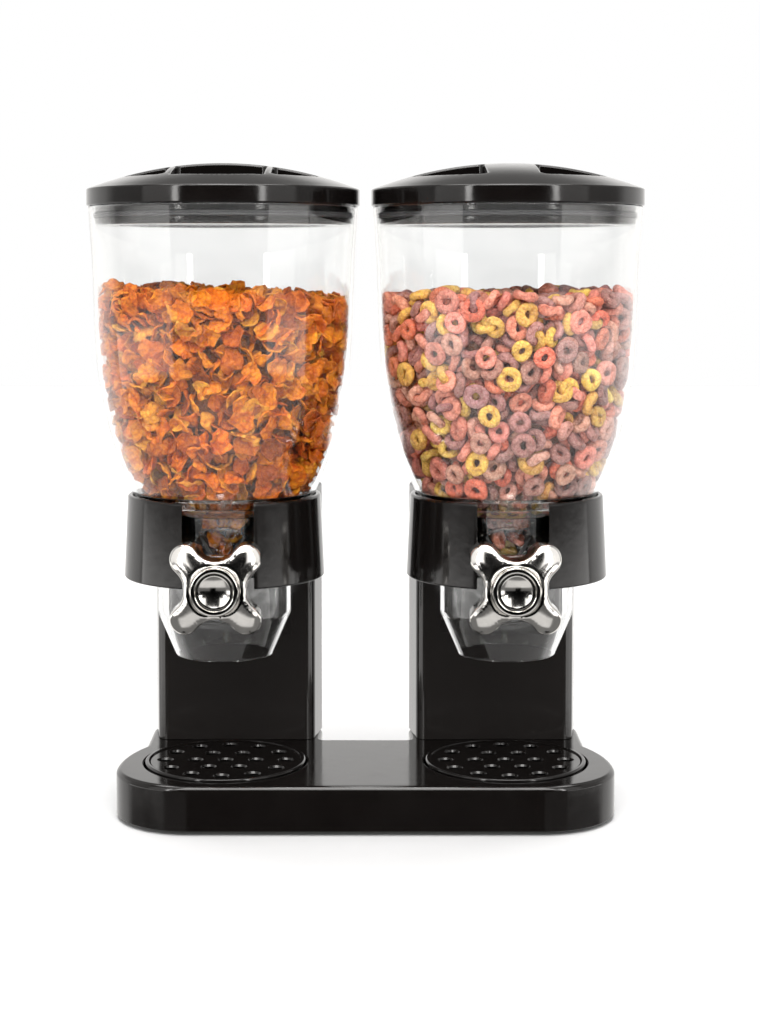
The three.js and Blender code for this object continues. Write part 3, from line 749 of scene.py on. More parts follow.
def canister():
    """A clear bowl and its skirt, open at both ends, with a rounded rim."""
    wall, skirt, low = HOPPER["wall"], HOPPER["skirt_r"], HOPPER_LOW[2]
    inner = skirt - wall
    outer = [(r, z, 0) for r, z in BOWL_LINE[1:-1]]
    high = BOWL_LINE[-1][1]
    inside_line = [(r - wall, z, 0) for r, z in BOWL_LINE[1:-1]][::-1]
    top = [(BOWL_LINE[-1][0], high, 0.9), (BOWL_LINE[-1][0] - wall, high, 0.9)]
    profile = rounded([
        (inner, low, 0.6), (skirt, low, 0.6), (skirt, HOPPER["skirt_top"], 1.5),
        (BOWL[0][0], BOWL[0][1], 1.5), *outer, *top, *inside_line,
        (BOWL[0][0] - wall, BOWL[0][1], 1.2), (inner, HOPPER["skirt_top"], 1.2)], 4, closed=True)
    return turned(profile, 192, closed=True)


def funnel():
    f = FUNNEL
    profile = rounded([
        (0, f["floor_top"] - f["thickness"], 0), (f["floor_r"], f["floor_top"] - f["thickness"], 3),
        (f["seat_r"], f["seat_z"], 1.5), (f["shoulder_r"], f["shoulder_z"], 1),
        (f["rim_r"], f["top"], 0.4), (f["rim_r"] - f["thickness"], f["top"], 0.6),
        (f["floor_r"], f["floor_top"], 3), (0, f["floor_top"], 0)], 4)
    body = turned(profile, 96)
    throat = box(-f["throat_x"] / 2, f["throat_x"] / 2, -f["throat_y"] / 2, f["throat_y"] / 2,
                 170, 190, 3)
    return eased(cut(body, throat), 0.4, 2, 40)


def drum_outline():
    """The drum seen from the front, with the neck that rises from it to the throat."""
    r, half = DRUM["r"], DRUM["neck_x"] / 2
    join_at = math.asin(half / r)
    rim = arc(0, 0, r, math.pi / 2 + join_at, 2.5 * math.pi - join_at, 90)
    neck = DRUM["neck_top"] - WHEEL_Z
    return np.vstack([rim, [(half, neck), (-half, neck)]])


def wheel_housing():
    """The drum round the portion wheel, open to the throat above and to the spout below."""
    d, f = DRUM, FUNNEL
    body = raised(drum_outline(), [(0, -d["half"]), (0, d["half"] - d["wall"] - GAP)])
    cut(body, rod(d["r"] - d["wall"], -d["half"] + d["wall"], d["half"] + 1, 96))
    cut(body, rod(6.8, -d["half"] - 1, 0, SMALL))
    facing(body)
    cut(body, box(-f["throat_x"] / 2, f["throat_x"] / 2, -f["throat_y"] / 2, f["throat_y"] / 2,
                  WHEEL_Z + 15, d["neck_top"] + 1, 3))
    cut(body, box(-d["outlet_x"] / 2, d["outlet_x"] / 2, -f["throat_y"] / 2, f["throat_y"] / 2,
                  WHEEL_Z - d["r"] - 1, WHEEL_Z - 15, 3))
    return eased(body, 0.35, 2, 40)


def housing_cover():
    d = DRUM
    low, high = d["half"] - d["wall"], d["half"]
    return facing(slab(circle(d["r"], 96), low, high, 0.4, [circle(6.8, SMALL)]))


def spout():
    """A clear cup that narrows in a straight cone to its outlet."""
    s = SPOUT
    low, high = SPOUT_LOW[2], SPOUT_HIGH[2]
    flange_low = high - s["flange"]
    profile = rounded([
        (s["r"] - s["wall"], high, 0.5), (s["r"] - s["wall"], s["cone_top"] + 0.6, 6),
        (s["outlet_r"] - s["wall"], low, 0.8), (s["outlet_r"], low, 1.2),
        (s["r"], s["cone_top"], 7), (s["r"], flange_low, 0.6), (s["flange_r"], flange_low, 0.6),
        (s["flange_r"], high, 0.6)], 7, closed=True)
    cup = turned(profile, FINE, closed=True)
    hole = facing(rod(s["shaft_hole"], 20, s["r"] + 3, SMALL))
    return cut(cup, hole)


def bush(front):
    low, high = (span("bush_front_right") if front else span("bush_rear_right"))
    outer_r = (high[0] - low[0]) / 2
    reach = (-low[1], -high[1])
    near, far = (reach if front else reach[::-1])
    step = math.copysign(1.4, near - far)
    profile = rounded([
        (4.3, far, 0.3), (6.5, far, 0.4), (6.5, near - step, 0.2), (outer_r, near - step, 0.3),
        (outer_r, near, 0.5), (4.3, near, 0.4)], 4, closed=True)
    return facing(turned(profile, MEDIUM, closed=True))


def spindle():
    s, shoulder = SPINDLE, WHEEL["half"] + 1
    r, journal = s["r"], s["journal"]
    profile = rounded([
        (0, s["back"], 0), (journal, s["back"], 0.6), (journal, -shoulder, 0.2),
        (r, -shoulder, 0.2), (r, shoulder, 0.2), (journal, shoulder, 0.2),
        (journal, KNOB["back"] - 2, 0.2), (r, KNOB["back"] - 1, 0.2), (r, s["front"], 0.4),
        (1.5, s["front"], 0.2), (1.5, s["front"] - 9, 0.2), (0, s["front"] - 9, 0)], 3)
    return facing(turned(profile, MEDIUM))


def wheel_hub():
    w = WHEEL
    bore = SPINDLE["r"] + GAP + 0.1
    ribs = [(w["hub_r"] if k % 2 else w["hub_r"] - 0.5, -w["half"] + 2 * k, 0.3)
            for k in range(21)]
    profile = rounded([(bore, -w["half"], 0.4), *ribs, (bore, w["half"], 0.4)], 2, closed=True)
    return facing(turned(profile, MEDIUM, closed=True))


def wheel_paddles():
    """Six flexible paddles on a sleeve, thinner at their rounded tips."""
    w = WHEEL
    sleeve, corners = w["hub_r"] + GAP + 1.6, []
    for k in range(w["blades"]):
        turn = math.radians(60 * k + 60)
        along = np.array([math.cos(turn), math.sin(turn)])
        across = np.array([-along[1], along[0]])
        for u, v, fillet in ((sleeve - 0.2, -1.7, 1.6), (w["r"], -0.6, 0.55), (w["r"], 0.6, 0.55),
                             (sleeve - 0.2, 1.7, 1.6)):
            corners.append((*(along * u + across * v), fillet))
    outline = rounded(corners, 5, closed=True)
    half = w["half"] - 0.5
    levels = [(i, -half + d) for i, d in quarter(0.35, 3)][::-1]
    levels += [(i, half - d) for i, d in quarter(0.35, 3)]
    return facing(raised(outline, levels, [circle(w["hub_r"] + GAP, MEDIUM)]))


# ------------------------------------------------------------------ knob
def knob_outline(inset=0.0, steps=14):
    """Four round lobes joined by hollow flanks."""
    k = KNOB

    def flank(along, across, waist):
        return ((along ** 2 + across ** 2 - (waist - k["lobe_r"]) ** 2)
                / (2 * (along - waist + k["lobe_r"])))

    wide = (k["lobe_x"], k["lobe_z"], k["waist_x"])
    tall = (k["lobe_z"], k["lobe_x"], k["waist_z"])
    out = []
    for quarter_turn in range(4):
        here, following = (wide, tall) if quarter_turn % 2 == 0 else (tall, wide)
        turn = quarter_turn * math.pi / 2
        c, s = math.cos(turn), math.sin(turn)
        centre = flank(*here)
        lean = math.atan2(here[1], centre - here[0])
        next_lean = math.atan2(following[1], flank(*following) - following[0])
        hollow = arc(centre, 0, centre - here[2] + inset, math.pi + lean, math.pi - lean, steps)
        lobe = arc(here[0], here[1], k["lobe_r"] - inset, -lean, math.pi / 2 + next_lean, steps + 6)
        both = np.vstack([hollow[:-1], lobe[:-1]])
        out.append(both @ np.array([[c, s], [-s, c]]))
    return np.vstack(out)


def knob():
    """A chromed cast knob: domed lobes, a raised ring and a bore for the spindle."""
    k = KNOB
    back, front, top = k["back"], k["front"], -KNOB_LOW[1]
    solid = Solid()
    loops = [solid.loop(knob_outline(i), back + d) for i, d in quarter(1.0, 3)[::-1]]
    edge, swell, bow = 1.6, 0.9, 0.0056

    def crown(points):
        return front - swell - bow * (points ** 2).sum(1)

    for i, d in quarter(edge, 7):
        ring = knob_outline(i)
        loops.append(solid.loop(ring, crown(ring) - d))
    solid.walls(loops)
    rim = knob_outline(edge)
    ring_r, dish_r = k["ring_r"], k["dish_r"]
    groove = ring_r + 0.8
    grid = np.arange(-30, 30.01, 0.9)
    spread = np.array([(x + 0.45 * (j % 2), z) for j, z in enumerate(grid) for x in grid])
    clear_of = np.linalg.norm(spread[:, None] - rim[None], axis=2).min(1)
    keep = inside(spread, rim) & (clear_of > 0.6) & (np.hypot(*spread.T) > groove + 0.5)
    spread, clear_of = spread[keep], clear_of[keep]
    # the face swells a little over each lobe, and dips into a groove round the ring
    dip = np.clip((np.hypot(*spread.T) - groove) / 1.5, 0, 1)
    rise = swell * (1 - np.exp(-clear_of / 2.4)) * dip
    extra = solid.loop(spread, crown(spread) + rise)
    floor = front - swell - bow * groove ** 2
    rings = [(groove, floor), (ring_r + 0.35, floor - 0.5), (ring_r, floor),
             (ring_r, top - 1.0), (ring_r - 0.3, top - 0.3), (ring_r - 1.0, top),
             (dish_r + 1.0, top), (dish_r + 0.3, top - 0.3), (dish_r, top - 1.0),
             (dish_r, k["dish"]), (1.8, k["dish"]), (1.8, SPINDLE["front"] + 0.5),
             (k["bore"], SPINDLE["front"] + 0.5), (k["bore"], back)]
    inner = [solid.loop(circle(r, FINE // 2), h) for r, h in rings]
    solid.walls(inner)
    solid.cap(loops[-1], [inner[0]], extra)
    solid.cap(loops[0], [inner[-1]])
    return facing(solid.object())


def knob_cap():
    low, _ = span("knob_cap_right")
    rim, r = -low[1], KNOB["dish_r"] - GAP
    bottom = KNOB["dish"] + GAP
    dish = [(x, rim - 2.2 * (1 - (x / (r - 0.9)) ** 2)) for x in np.linspace(0, r - 0.9, 14)]
    profile = [(0, rim - 3.5), (4.2, rim - 3.5), (4.2, bottom), (r - 0.2, bottom),
               (r, bottom + 0.2), (r, rim - 0.5), (r - 0.35, rim - 0.1), *dish[::-1]]
    return facing(turned(profile, 96))


def knob_screw():
    dish = KNOB["dish"] + GAP
    profile = rounded([(0, 62, 0), (1.2, 62, 0.3), (1.2, dish, 0.1), (3.4, dish, 0.2),
                       (3.0, 80.8, 0.5), (0, 81, 0)], 3)
    body = turned(profile, SMALL)
    slot = box(-3.6, 3.6, -0.35, 0.35, 80.2, 82)
    return facing(cut(body, slot))


# ------------------------------------------------------------------ lid
def dome(points, drop=0.0):
    return LID_HIGH[2] - LID["fall"] * (points ** 2).sum(1) - drop


def pocket_outline(left, right, turn, grow=0.0, corner=5.0):
    """A finger pocket behind the grip bar, from wall to wall, or out to the round wall if None."""
    bar, r = LID["bar"] - grow, LID["pocket_r"] + grow
    tip = math.asin(bar / r)
    start = tip if right is None else math.acos((right + grow) / r)
    end = math.pi - tip if left is None else math.acos((left - grow) / r)

    def rim(angle, fillet=corner):
        return r * math.cos(angle), r * math.sin(angle), fillet

    corners = [rim(end) if left is None else (left - grow, bar, corner),
               rim(start) if right is None else (right + grow, bar, corner)]
    if right is not None:
        corners.append(rim(start))
    corners += [rim(a, 0) for a in np.linspace(start + 0.3, end - 0.3, 31)]
    if left is not None:
        corners.append(rim(end))
    outline = rounded(corners, 8, closed=True)
    c, s = math.cos(turn), math.sin(turn)
    dense = []
    for a, b in zip(outline, np.roll(outline, -1, 0)):
        pieces = max(1, int(np.linalg.norm(b - a) / 2))
        dense += [a + (b - a) * k / pieces for k in range(pieces)]
    return np.array(dense) @ np.array([[c, s], [-s, c]])


def lid_cap():
    """A shallow dome with finger pockets that leave a T-shaped grip and two thin ribs."""
    rim_r, bottom = (LID_HIGH[0] - LID_LOW[0]) / 2, LID_LOW[2]
    shell = LID["shell"]
    solid = Solid()

    def face(r, drop, pockets, floor, edge):
        outer = solid.loop(circle(r, FINE), float(dome(np.array([[r, 0]]), drop)[0]))
        loops = []
        for pocket in pockets:
            # from the face down the pocket's side, then round into its floor
            stack = []
            for i, d in quarter(edge, 4)[::-1]:
                ring = offset(pocket, edge - i)
                stack.append(solid.loop(ring, dome(ring, drop) - d))
            side = offset(pocket, edge)
            for i, d in quarter(2.0, 4):
                stack.append(solid.loop(offset(side, i), floor + d))
            solid.walls(stack)
            solid.cap(stack[-1])
            loops.append(stack[0])
        step = 3.2
        line = np.arange(-84, 84.1, step)
        grid = np.array([(x + step / 2 * (j % 2), y) for j, y in enumerate(line) for x in line])
        keep = np.hypot(*grid.T) < r - 1.5
        for pocket in pockets:
            near = np.linalg.norm(grid[:, None] - pocket[None], axis=2).min(1)
            keep &= ~inside(grid, pocket) & (near > 1.2)
        extra = solid.loop(grid[keep], dome(grid[keep], drop))
        solid.cap(outer, loops, extra)
        return outer

    edge = 1.5
    top_r = rim_r - 1.6
    arm = LID["bar"]
    near, far = LID["rib_x"] - LID["rib"] / 2, LID["rib_x"] + LID["rib"] / 2
    beside = [(arm, None, math.pi), (None, -arm, math.pi)]
    behind = [(-near, near, 0), (far, None, 0), (None, -far, 0)]
    outer = face(top_r, 0, [pocket_outline(*p, edge) for p in beside + behind],
                 LID["pocket_floor"], edge)
    inner = face(rim_r - shell, shell, [pocket_outline(*p, LID["pocket_wall"] + 0.4)
                                        for p in beside + [(None, None, 0)]],
                 LID["pocket_floor"] - LID["pocket_wall"], 0.4)
    edge_z = float(dome(np.array([[top_r, 0]]))[0])
    side = rounded([(top_r, edge_z, 0), (rim_r, edge_z - 0.5, 1.5), (rim_r, bottom, 0.8),
                    (rim_r - shell, bottom, 0.5),
                    (rim_r - shell, float(dome(np.array([[rim_r - shell, 0]]), shell)[0]), 0)], 6)
    rims = [solid.loop(circle(r, FINE), h) for r, h in side[1:-1]]
    solid.walls([outer, *rims, inner])
    return solid.object()


def lid_plug():
    p = PLUG
    low, high = PLUG_LOW[2], PLUG_HIGH[2]
    groove = GASKET["half"] + GAP
    neck, r = GASKET["inner"] - GAP, p["r"]
    inner = r - p["wall"] - 1.6
    rise = LID_LOW[2] + GAP
    profile = rounded([
        (0, low + 1.2, 0), (r - 14, low + 1.2, 2), (r - 11, low, 2), (r, low, 1.4),
        (r, p["groove_z"] - groove, 0.3), (neck, p["groove_z"] - groove, 0.2),
        (neck, p["groove_z"] + groove, 0.2), (r, p["groove_z"] + groove, 0.3), (r, rise, 0.2),
        (p["flange_r"], rise, 0.3), (p["flange_r"], high, 0.4), (inner, high, 0.4),
        (inner, low + 1.2 + p["wall"], 1), (0, low + 1.2 + p["wall"], 0)], 4)
    return turned(profile, FINE)


def lid_gasket():
    """A silicone ring with two soft lips."""
    g, z = GASKET, PLUG["groove_z"]
    lip = g["half"]
    profile = rounded([
        (g["inner"], z - lip, 0.2), (g["r"] - 0.7, z - lip, 0.3), (g["r"], z - lip * 0.55, 0.35),
        (g["r"] - 0.8, z, 0.4), (g["r"], z + lip * 0.55, 0.35), (g["r"] - 0.7, z + lip, 0.3),
        (g["inner"], z + lip, 0.2)], 4, closed=True)
    return turned(profile, FINE, closed=True)


# ------------------------------------------------------------------ crumb tray
def crumb_grid():
    """A round grid with a beaded rim and countersunk crumb holes."""
    g = GRID
    high, low = GRID_HIGH[2], GRID_LOW[2]
    r = (GRID_HIGH[0] - GRID_LOW[0]) / 2
    under, face = high - g["thickness"], high - 0.9
    spigot = g["spigot_r"]
    solid = Solid()
    profile = rounded([
        (r - 4.4, face, 0), (r - 3.2, face, 0.7), (r - 2.7, high, 0.9), (r - 0.2, high, 1.1),
        (r, under, 0.5), (spigot, under, 0.3), (spigot, low, 0.5), (spigot - 2, low, 0.5),
        (spigot - 2, under, 0.5), (spigot - 4, under, 0)], 5)
    loops = [solid.loop(circle(a, FINE), b) for a, b in profile]
    solid.walls(loops)
    tops, bottoms = [], []
    for count, ring_r in ((1, 0), (6, 18.6), (12, 37)):
        for i in range(count):
            angle = 2 * math.pi * i / count
            x, y = ring_r * math.cos(angle), ring_r * math.sin(angle)
            shape = rounded([(g["hole"] + 1.0, face, 0), (g["hole"] + 0.75, face, 0.2),
                             (g["hole"], face - 1.25, 0.05), (g["hole"], under, 0)], 3)
            stack = [solid.loop(circle(a, 28, x, y), b) for a, b in shape]
            solid.walls(stack)
            tops.append(stack[0])
            bottoms.append(stack[-1])
    solid.cap(loops[0], tops)
    solid.cap(loops[-1], bottoms)
    return solid.object()


def crumb_dish():
    low, high = DISH_LOW[2], DISH_HIGH[2]
    r, wall, foot_r = (DISH_HIGH[0] - DISH_LOW[0]) / 2, 1.6, 40
    profile = rounded([
        (0, low + 0.6, 0), (foot_r - 4, low + 0.6, 1), (foot_r - 3, low, 0.5), (foot_r, low, 1),
        (r - 1.5, low + 5, 2), (r, high, 0.6), (r - wall, high, 0.6),
        (r - 1.5 - wall, low + 5 + wall, 3), (foot_r - 1, low + wall, 2),
        (0, low + wall + 0.4, 0)], 5)
    return turned(profile, FINE)


# ------------------------------------------------------------------ cereal
SAFE = 0.4                       # kept between the cereal and the clear wall
TUMBLE = 0.5                     # how loosely a piece's flat side turns outward
GIVE = 0.7                       # share of a ball's radius that the wall keeps out
WALL_PUSH, CONE_PUSH, TOP_PUSH, BACK_PUSH = 1.6, 0.8, 0.7, 0.5
MOVE, TURN = 2.2, 0.9            # how far the forces carry and turn a piece in one step
MOST_MOVE, MOST_TURN = 3.0, 0.35
TOP_SKIN = 9                     # pieces this near the top lie flat on it


def turn_matrices(vectors):
    """Rotation matrices of rotation vectors, one a row."""
    angle = np.linalg.norm(vectors, axis=1)
    axis = vectors / np.maximum(angle, 1e-12)[:, None]
    x, y, z = axis.T
    zero = np.zeros_like(x)
    skew = np.stack([zero, -z, y, z, zero, -x, -y, x, zero], 1).reshape(-1, 3, 3)
    s, c = np.sin(angle)[:, None, None], (1 - np.cos(angle))[:, None, None]
    return np.eye(3) + s * skew + c * (skew @ skew)


def near_pairs(points, reach, owner):
    """Pairs of points closer than about reach that belong to different pieces."""
    cell = np.floor((points - points.min(0)) / reach).astype(np.int64) + 1
    size = cell.max(0) + 2
    stride = np.array([1, size[0], size[0] * size[1]])
    key = cell @ stride
    order = np.argsort(key, kind="stable")
    ranked = key[order]
    firsts, seconds = [], []
    for shift in np.ndindex(3, 3, 3):
        step = int((np.array(shift) - 1) @ stride)
        if step < 0:
            continue
        low = np.searchsorted(ranked, key + step, "left")
        count = np.searchsorted(ranked, key + step, "right") - low
        first = np.repeat(np.arange(len(points)), count)
        start = np.repeat(low - np.cumsum(count) + count, count)
        second = order[start + np.arange(count.sum())]
        keep = owner[first] != owner[second]
        if step == 0:
            keep &= first < second
        firsts.append(first[keep])
        seconds.append(second[keep])
    return np.concatenate(firsts), np.concatenate(seconds)


BOWL_Z, BOWL_R = BOWL_LINE[:, 1], BOWL_LINE[:, 0] - HOPPER["wall"]
CONE_LOW, CONE_HIGH = FUNNEL["floor_top"], FUNNEL["top"]


def wall_radius(z):
    """The clear radius inside the bowl, or inside the funnel below it."""
    cone = np.interp(z, [CONE_LOW, CONE_HIGH],
                     [FUNNEL["floor_r"], FUNNEL["rim_r"] - FUNNEL["thickness"]])
    return np.where(z > CONE_HIGH, np.interp(z, BOWL_Z, BOWL_R), cone)


def settle(rng, count, balls, size, depth, face_wall, fill, slope, steps):
    """Packs pieces, each a cluster of balls, in a shell under the wall and the top surface."""
    tries = 16 * count
    angle, spread = rng.uniform(0, 2 * math.pi, tries), rng.uniform(0, 1, tries)
    z = rng.uniform(CONE_LOW + 3, fill + 4, tries)
    limit = wall_radius(z) - size
    r = limit * np.sqrt(spread)
    roof = fill + slope * r * np.cos(angle)
    shell = (z < roof) & ((limit - r < depth) | (roof - z < depth))
    picked = np.flatnonzero(shell & (rng.uniform(0, 1, tries) < limit ** 2 / 76 ** 2))[:count]
    angle, r, z = angle[picked], r[picked], z[picked]
    centre = np.column_stack([r * np.cos(angle), r * np.sin(angle), z])
    count = len(centre)
    # each piece's flat side turns towards the wall or the top, more or less
    outward = np.column_stack([np.cos(angle), np.sin(angle), np.zeros(count)])
    outward[fill - z < TOP_SKIN] = (0, 0, 1)
    facing_way = outward * face_wall + rng.normal(0, TUMBLE, (count, 3))
    facing_way /= np.linalg.norm(facing_way, axis=1, keepdims=True)
    axis = np.cross([0, 0, 1], facing_way)
    axis /= np.maximum(np.linalg.norm(axis, axis=1, keepdims=True), 1e-9)
    lean = np.arccos(np.clip(facing_way[:, 2], -1, 1))
    spin = rng.uniform(0, 2 * math.pi, count)
    spins = np.column_stack([np.zeros((count, 2)), spin])
    turn = turn_matrices(axis * lean[:, None]) @ turn_matrices(spins)
    hills = rng.uniform(0, 2 * math.pi, 4)
    radius, owner = balls[:, 3], np.repeat(np.arange(count), len(balls))
    ball_r = np.tile(radius, count)
    inertia = (balls[:, :3] ** 2).sum() + 1e-9
    for _ in range(steps):
        arms = np.einsum("nij,kj->nki", turn, balls[:, :3])
        points = (centre[:, None] + arms).reshape(-1, 3)
        first, second = near_pairs(points, 2 * radius.max(), owner)
        gap = points[second] - points[first]
        apart = np.linalg.norm(gap, axis=1)
        deep = ball_r[first] + ball_r[second] - apart
        hit = deep > 0
        first, second, gap = first[hit], second[hit], gap[hit]
        push = gap * (0.5 * deep[hit] / np.maximum(apart[hit], 1e-6))[:, None]
        force = np.zeros_like(points)
        for k in range(3):
            force[:, k] = (np.bincount(second, push[:, k], len(points))
                           - np.bincount(first, push[:, k], len(points)))
        # the wall, the cone, the bed below and the top surface
        out = np.hypot(points[:, 0], points[:, 1])
        over = np.clip(out + ball_r * GIVE + SAFE - wall_radius(points[:, 2]), 0, None)
        inward = points[:, :2] / np.maximum(out, TINY)[:, None]
        force[:, :2] -= inward * over[:, None] * WALL_PUSH
        force[:, 2] += np.where(points[:, 2] < CONE_HIGH + 8, over * CONE_PUSH, 0)
        force[:, 2] += np.clip(CONE_LOW + ball_r - points[:, 2], 0, None)
        top = fill + slope * points[:, 0]
        top += 2.5 * np.sin(points[:, 0] / 17 + hills[0]) * np.cos(points[:, 1] / 21 + hills[1])
        top += 2.0 * np.sin(points[:, 1] / 9 + hills[2]) * np.cos(points[:, 0] / 11 + hills[3])
        force[:, 2] -= np.clip(points[:, 2] + ball_r - top, 0, None) * TOP_PUSH
        force = force.reshape(count, -1, 3)
        shift = force.mean(1) * MOVE
        twist = np.cross(arms, force).sum(1) / inertia * TURN
        # pieces that drift too deep come back towards the shell
        deep_in = wall_radius(centre[:, 2]) - np.hypot(centre[:, 0], centre[:, 1]) - depth - size
        deep_in = np.clip(np.minimum(deep_in, fill - centre[:, 2] - depth), 0, None)
        back = centre[:, :2] / np.maximum(np.hypot(*centre[:, :2].T), TINY)[:, None]
        shift[:, :2] += back * np.minimum(deep_in, 1.0)[:, None] * BACK_PUSH
        length = np.linalg.norm(shift, axis=1, keepdims=True)
        shift *= np.minimum(1, MOST_MOVE / np.maximum(length, 1e-9))
        lean = np.linalg.norm(twist, axis=1, keepdims=True)
        twist *= np.minimum(1, MOST_TURN / np.maximum(lean, 1e-9))
        centre = centre + shift
        turn = turn_matrices(twist) @ turn
    return centre, turn


def in_hopper(points):
    """Points kept a little inside the bowl, the funnel and the throat below it."""
    x, y, z = points.T
    hx, hy = FUNNEL["throat_x"] / 2 - 0.6, FUNNEL["throat_y"] / 2 - 0.6
    in_throat = (np.abs(x) < hx + 1.5) & (np.abs(y) < hy + 1.5) & (z < CONE_LOW)
    z = np.where(in_throat, np.maximum(z, WHEEL_Z + WHEEL["r"] + 1), np.maximum(z, CONE_LOW + 0.3))
    r = np.hypot(x, y)
    pull = np.minimum(1, (wall_radius(z) - 0.45) / np.maximum(r, 1e-6))
    pull = np.where(in_throat, 1, pull)
    x = np.where(in_throat, np.clip(x, -hx, hx), x * pull)
    y = np.where(in_throat, np.clip(y, -hy, hy), y * pull)
    return np.column_stack([x, y, z])


def in_chamber(points):
    """Points kept between the hub and the drum, and clear of the drum's ends."""
    x, y, z = points.T
    z = z - WHEEL_Z
    r = np.hypot(x, z)
    scale = np.clip(r, WHEEL["hub_r"] + 3, WHEEL["r"] - 0.4) / np.maximum(r, 1e-6)
    end = WHEEL["half"] - 1
    return np.column_stack([x * scale, np.clip(y, -end, end), z * scale + WHEEL_Z])


def gathered(name, shapes, centre, turn, pick, tints, keep_in, finish, body, x):
    """One mesh of many copies of a few shapes, each with its own tint."""
    points, faces, colours, start = [], [], [], 0
    for c, m, k, tint in zip(centre, turn, pick, tints):
        shape, cells = shapes[k]
        points.append(shape @ m.T + c)
        faces.append(cells + start)
        colours.append(np.tile([*tint, 1.0], (len(shape), 1)))
        start += len(shape)
    points, faces = keep_in(np.vstack(points)), np.vstack(faces)
    mesh = bpy.data.meshes.new(name)
    mesh.vertices.add(len(points))
    mesh.vertices.foreach_set("co", ((points + (x, 0, 0)) * MM).ravel())
    mesh.loops.add(faces.size)
    mesh.loops.foreach_set("vertex_index", faces.ravel())
    mesh.polygons.add(len(faces))
    mesh.polygons.foreach_set("loop_start", np.arange(len(faces)) * faces.shape[1])
    mesh.update(calc_edges=True)
    mesh.shade_smooth()
    tint = mesh.color_attributes.new("tint", "FLOAT_COLOR", "POINT")
    tint.data.foreach_set("color", np.vstack(colours).astype(np.float32).ravel())
    mesh.materials.append(finish)
    piece = bpy.data.objects.new(name, mesh)
    bpy.context.scene.collection.objects.link(piece)
    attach(piece, body)
    return piece


def tube_cells(around, across):
    """Quads of a grid that closes on itself both ways."""
    i, j = np.meshgrid(np.arange(around), np.arange(across), indexing="ij")
    i2, j2 = (i + 1) % around, (j + 1) % across
    return np.stack([i * across + j, i2 * across + j, i2 * across + j2, i * across + j2],
                    -1).reshape(-1, 4)


def ring_shape(rng, around=20, across=10):
    """A puffed cereal ring, thick and a little uneven, with a small hole."""
    u = np.linspace(0, 2 * math.pi, around, endpoint=False)[:, None]
    v = np.linspace(0, 2 * math.pi, across, endpoint=False)[None]
    a, b, c, d = rng.uniform(0, 2 * math.pi, 4)
    size = rng.uniform(0.92, 1.08)
    tube = 2.5 * size * (1 + 0.08 * np.sin(2 * u + a) + 0.05 * np.sin(3 * u + b)
                         + 0.04 * np.sin(3 * u + 2 * v + c) + rng.normal(0, 0.02, (around, across)))
    main = 4.5 * size * (1 + 0.05 * np.sin(2 * u + d))
    x = (main + tube * np.cos(v)) * np.cos(u)
    y = (main + tube * np.cos(v)) * np.sin(u) * (1 + 0.06 * np.sin(a))
    z = tube * np.sin(v) * 1.05 + 0.35 * np.sin(2 * u + b)
    return np.stack([x, y, z], -1).reshape(-1, 3), tube_cells(around, across)


def flake_shape(rng, around=20, rings=5):
    """A corn flake: a thin, crumpled, blistered sheet, curled up, with a ragged rim."""
    u = np.linspace(0, 2 * math.pi, around, endpoint=False)
    rim = 1 + rng.normal(0, 0.06, around)
    for k, high in ((2, 0.15), (3, 0.11), (5, 0.07), (7, 0.05)):
        rim += high * np.sin(k * u + rng.uniform(0, 2 * math.pi))
    rim *= rng.uniform(6.4, 8.4)
    share = (np.arange(1, rings + 1) / rings) ** 0.75
    x = np.concatenate([[0], (share[:, None] * rim * np.cos(u)).ravel()])
    y = np.concatenate([[0], (share[:, None] * rim * np.sin(u)).ravel() * 0.85])
    edge = np.hypot(x, y) / 8
    z = np.zeros_like(x)
    # creases run across the sheet in every direction, and blisters rise between them
    for _ in range(6):
        way, wave = rng.uniform(0, math.pi), rng.uniform(5.5, 11)
        along = (x * math.cos(way) + y * math.sin(way)) * math.pi / wave + rng.uniform(0, math.pi)
        z += rng.choice([-1, 1]) * 0.085 * wave * (np.abs(np.sin(along)) - 0.64)
    for _ in range(6):
        bx, by = rng.uniform(-6, 6, 2)
        wide, high = rng.uniform(1.2, 2.2), rng.uniform(-0.9, 1.3)
        z += high * np.exp(-((x - bx) ** 2 + (y - by) ** 2) / wide ** 2)
    curl, fold = rng.uniform(0.07, 0.13), rng.uniform(-0.02, 0.03)
    z += fold * y ** 2
    x, z = np.sin(x * curl) * (1 / curl - z), (1 - np.cos(x * curl)) / curl + z * np.cos(x * curl)
    z -= z.mean()
    thick = 0.6 - 0.3 * np.clip(edge, 0, 1) ** 3
    top = np.column_stack([x, y, z + thick])
    low = np.column_stack([x, y, z - thick])
    half = len(x)
    cells = []
    for k in range(around):
        n = (k + 1) % around
        cells += [(0, 1 + k, 1 + n), (half, half + 1 + n, half + 1 + k)]
        for r in range(rings - 1):
            a, b = 1 + r * around, 1 + (r + 1) * around
            for p, q, o, w in ((a + k, b + k, b + n, a + n),
                               (half + a + n, half + b + n, half + b + k, half + a + k)):
                cells += [(p, q, o), (p, o, w)]
        a = 1 + (rings - 1) * around
        cells += [(a + k, half + a + k, half + a + n), (a + k, half + a + n, a + n)]
    return np.vstack([top, low]), np.array(cells)


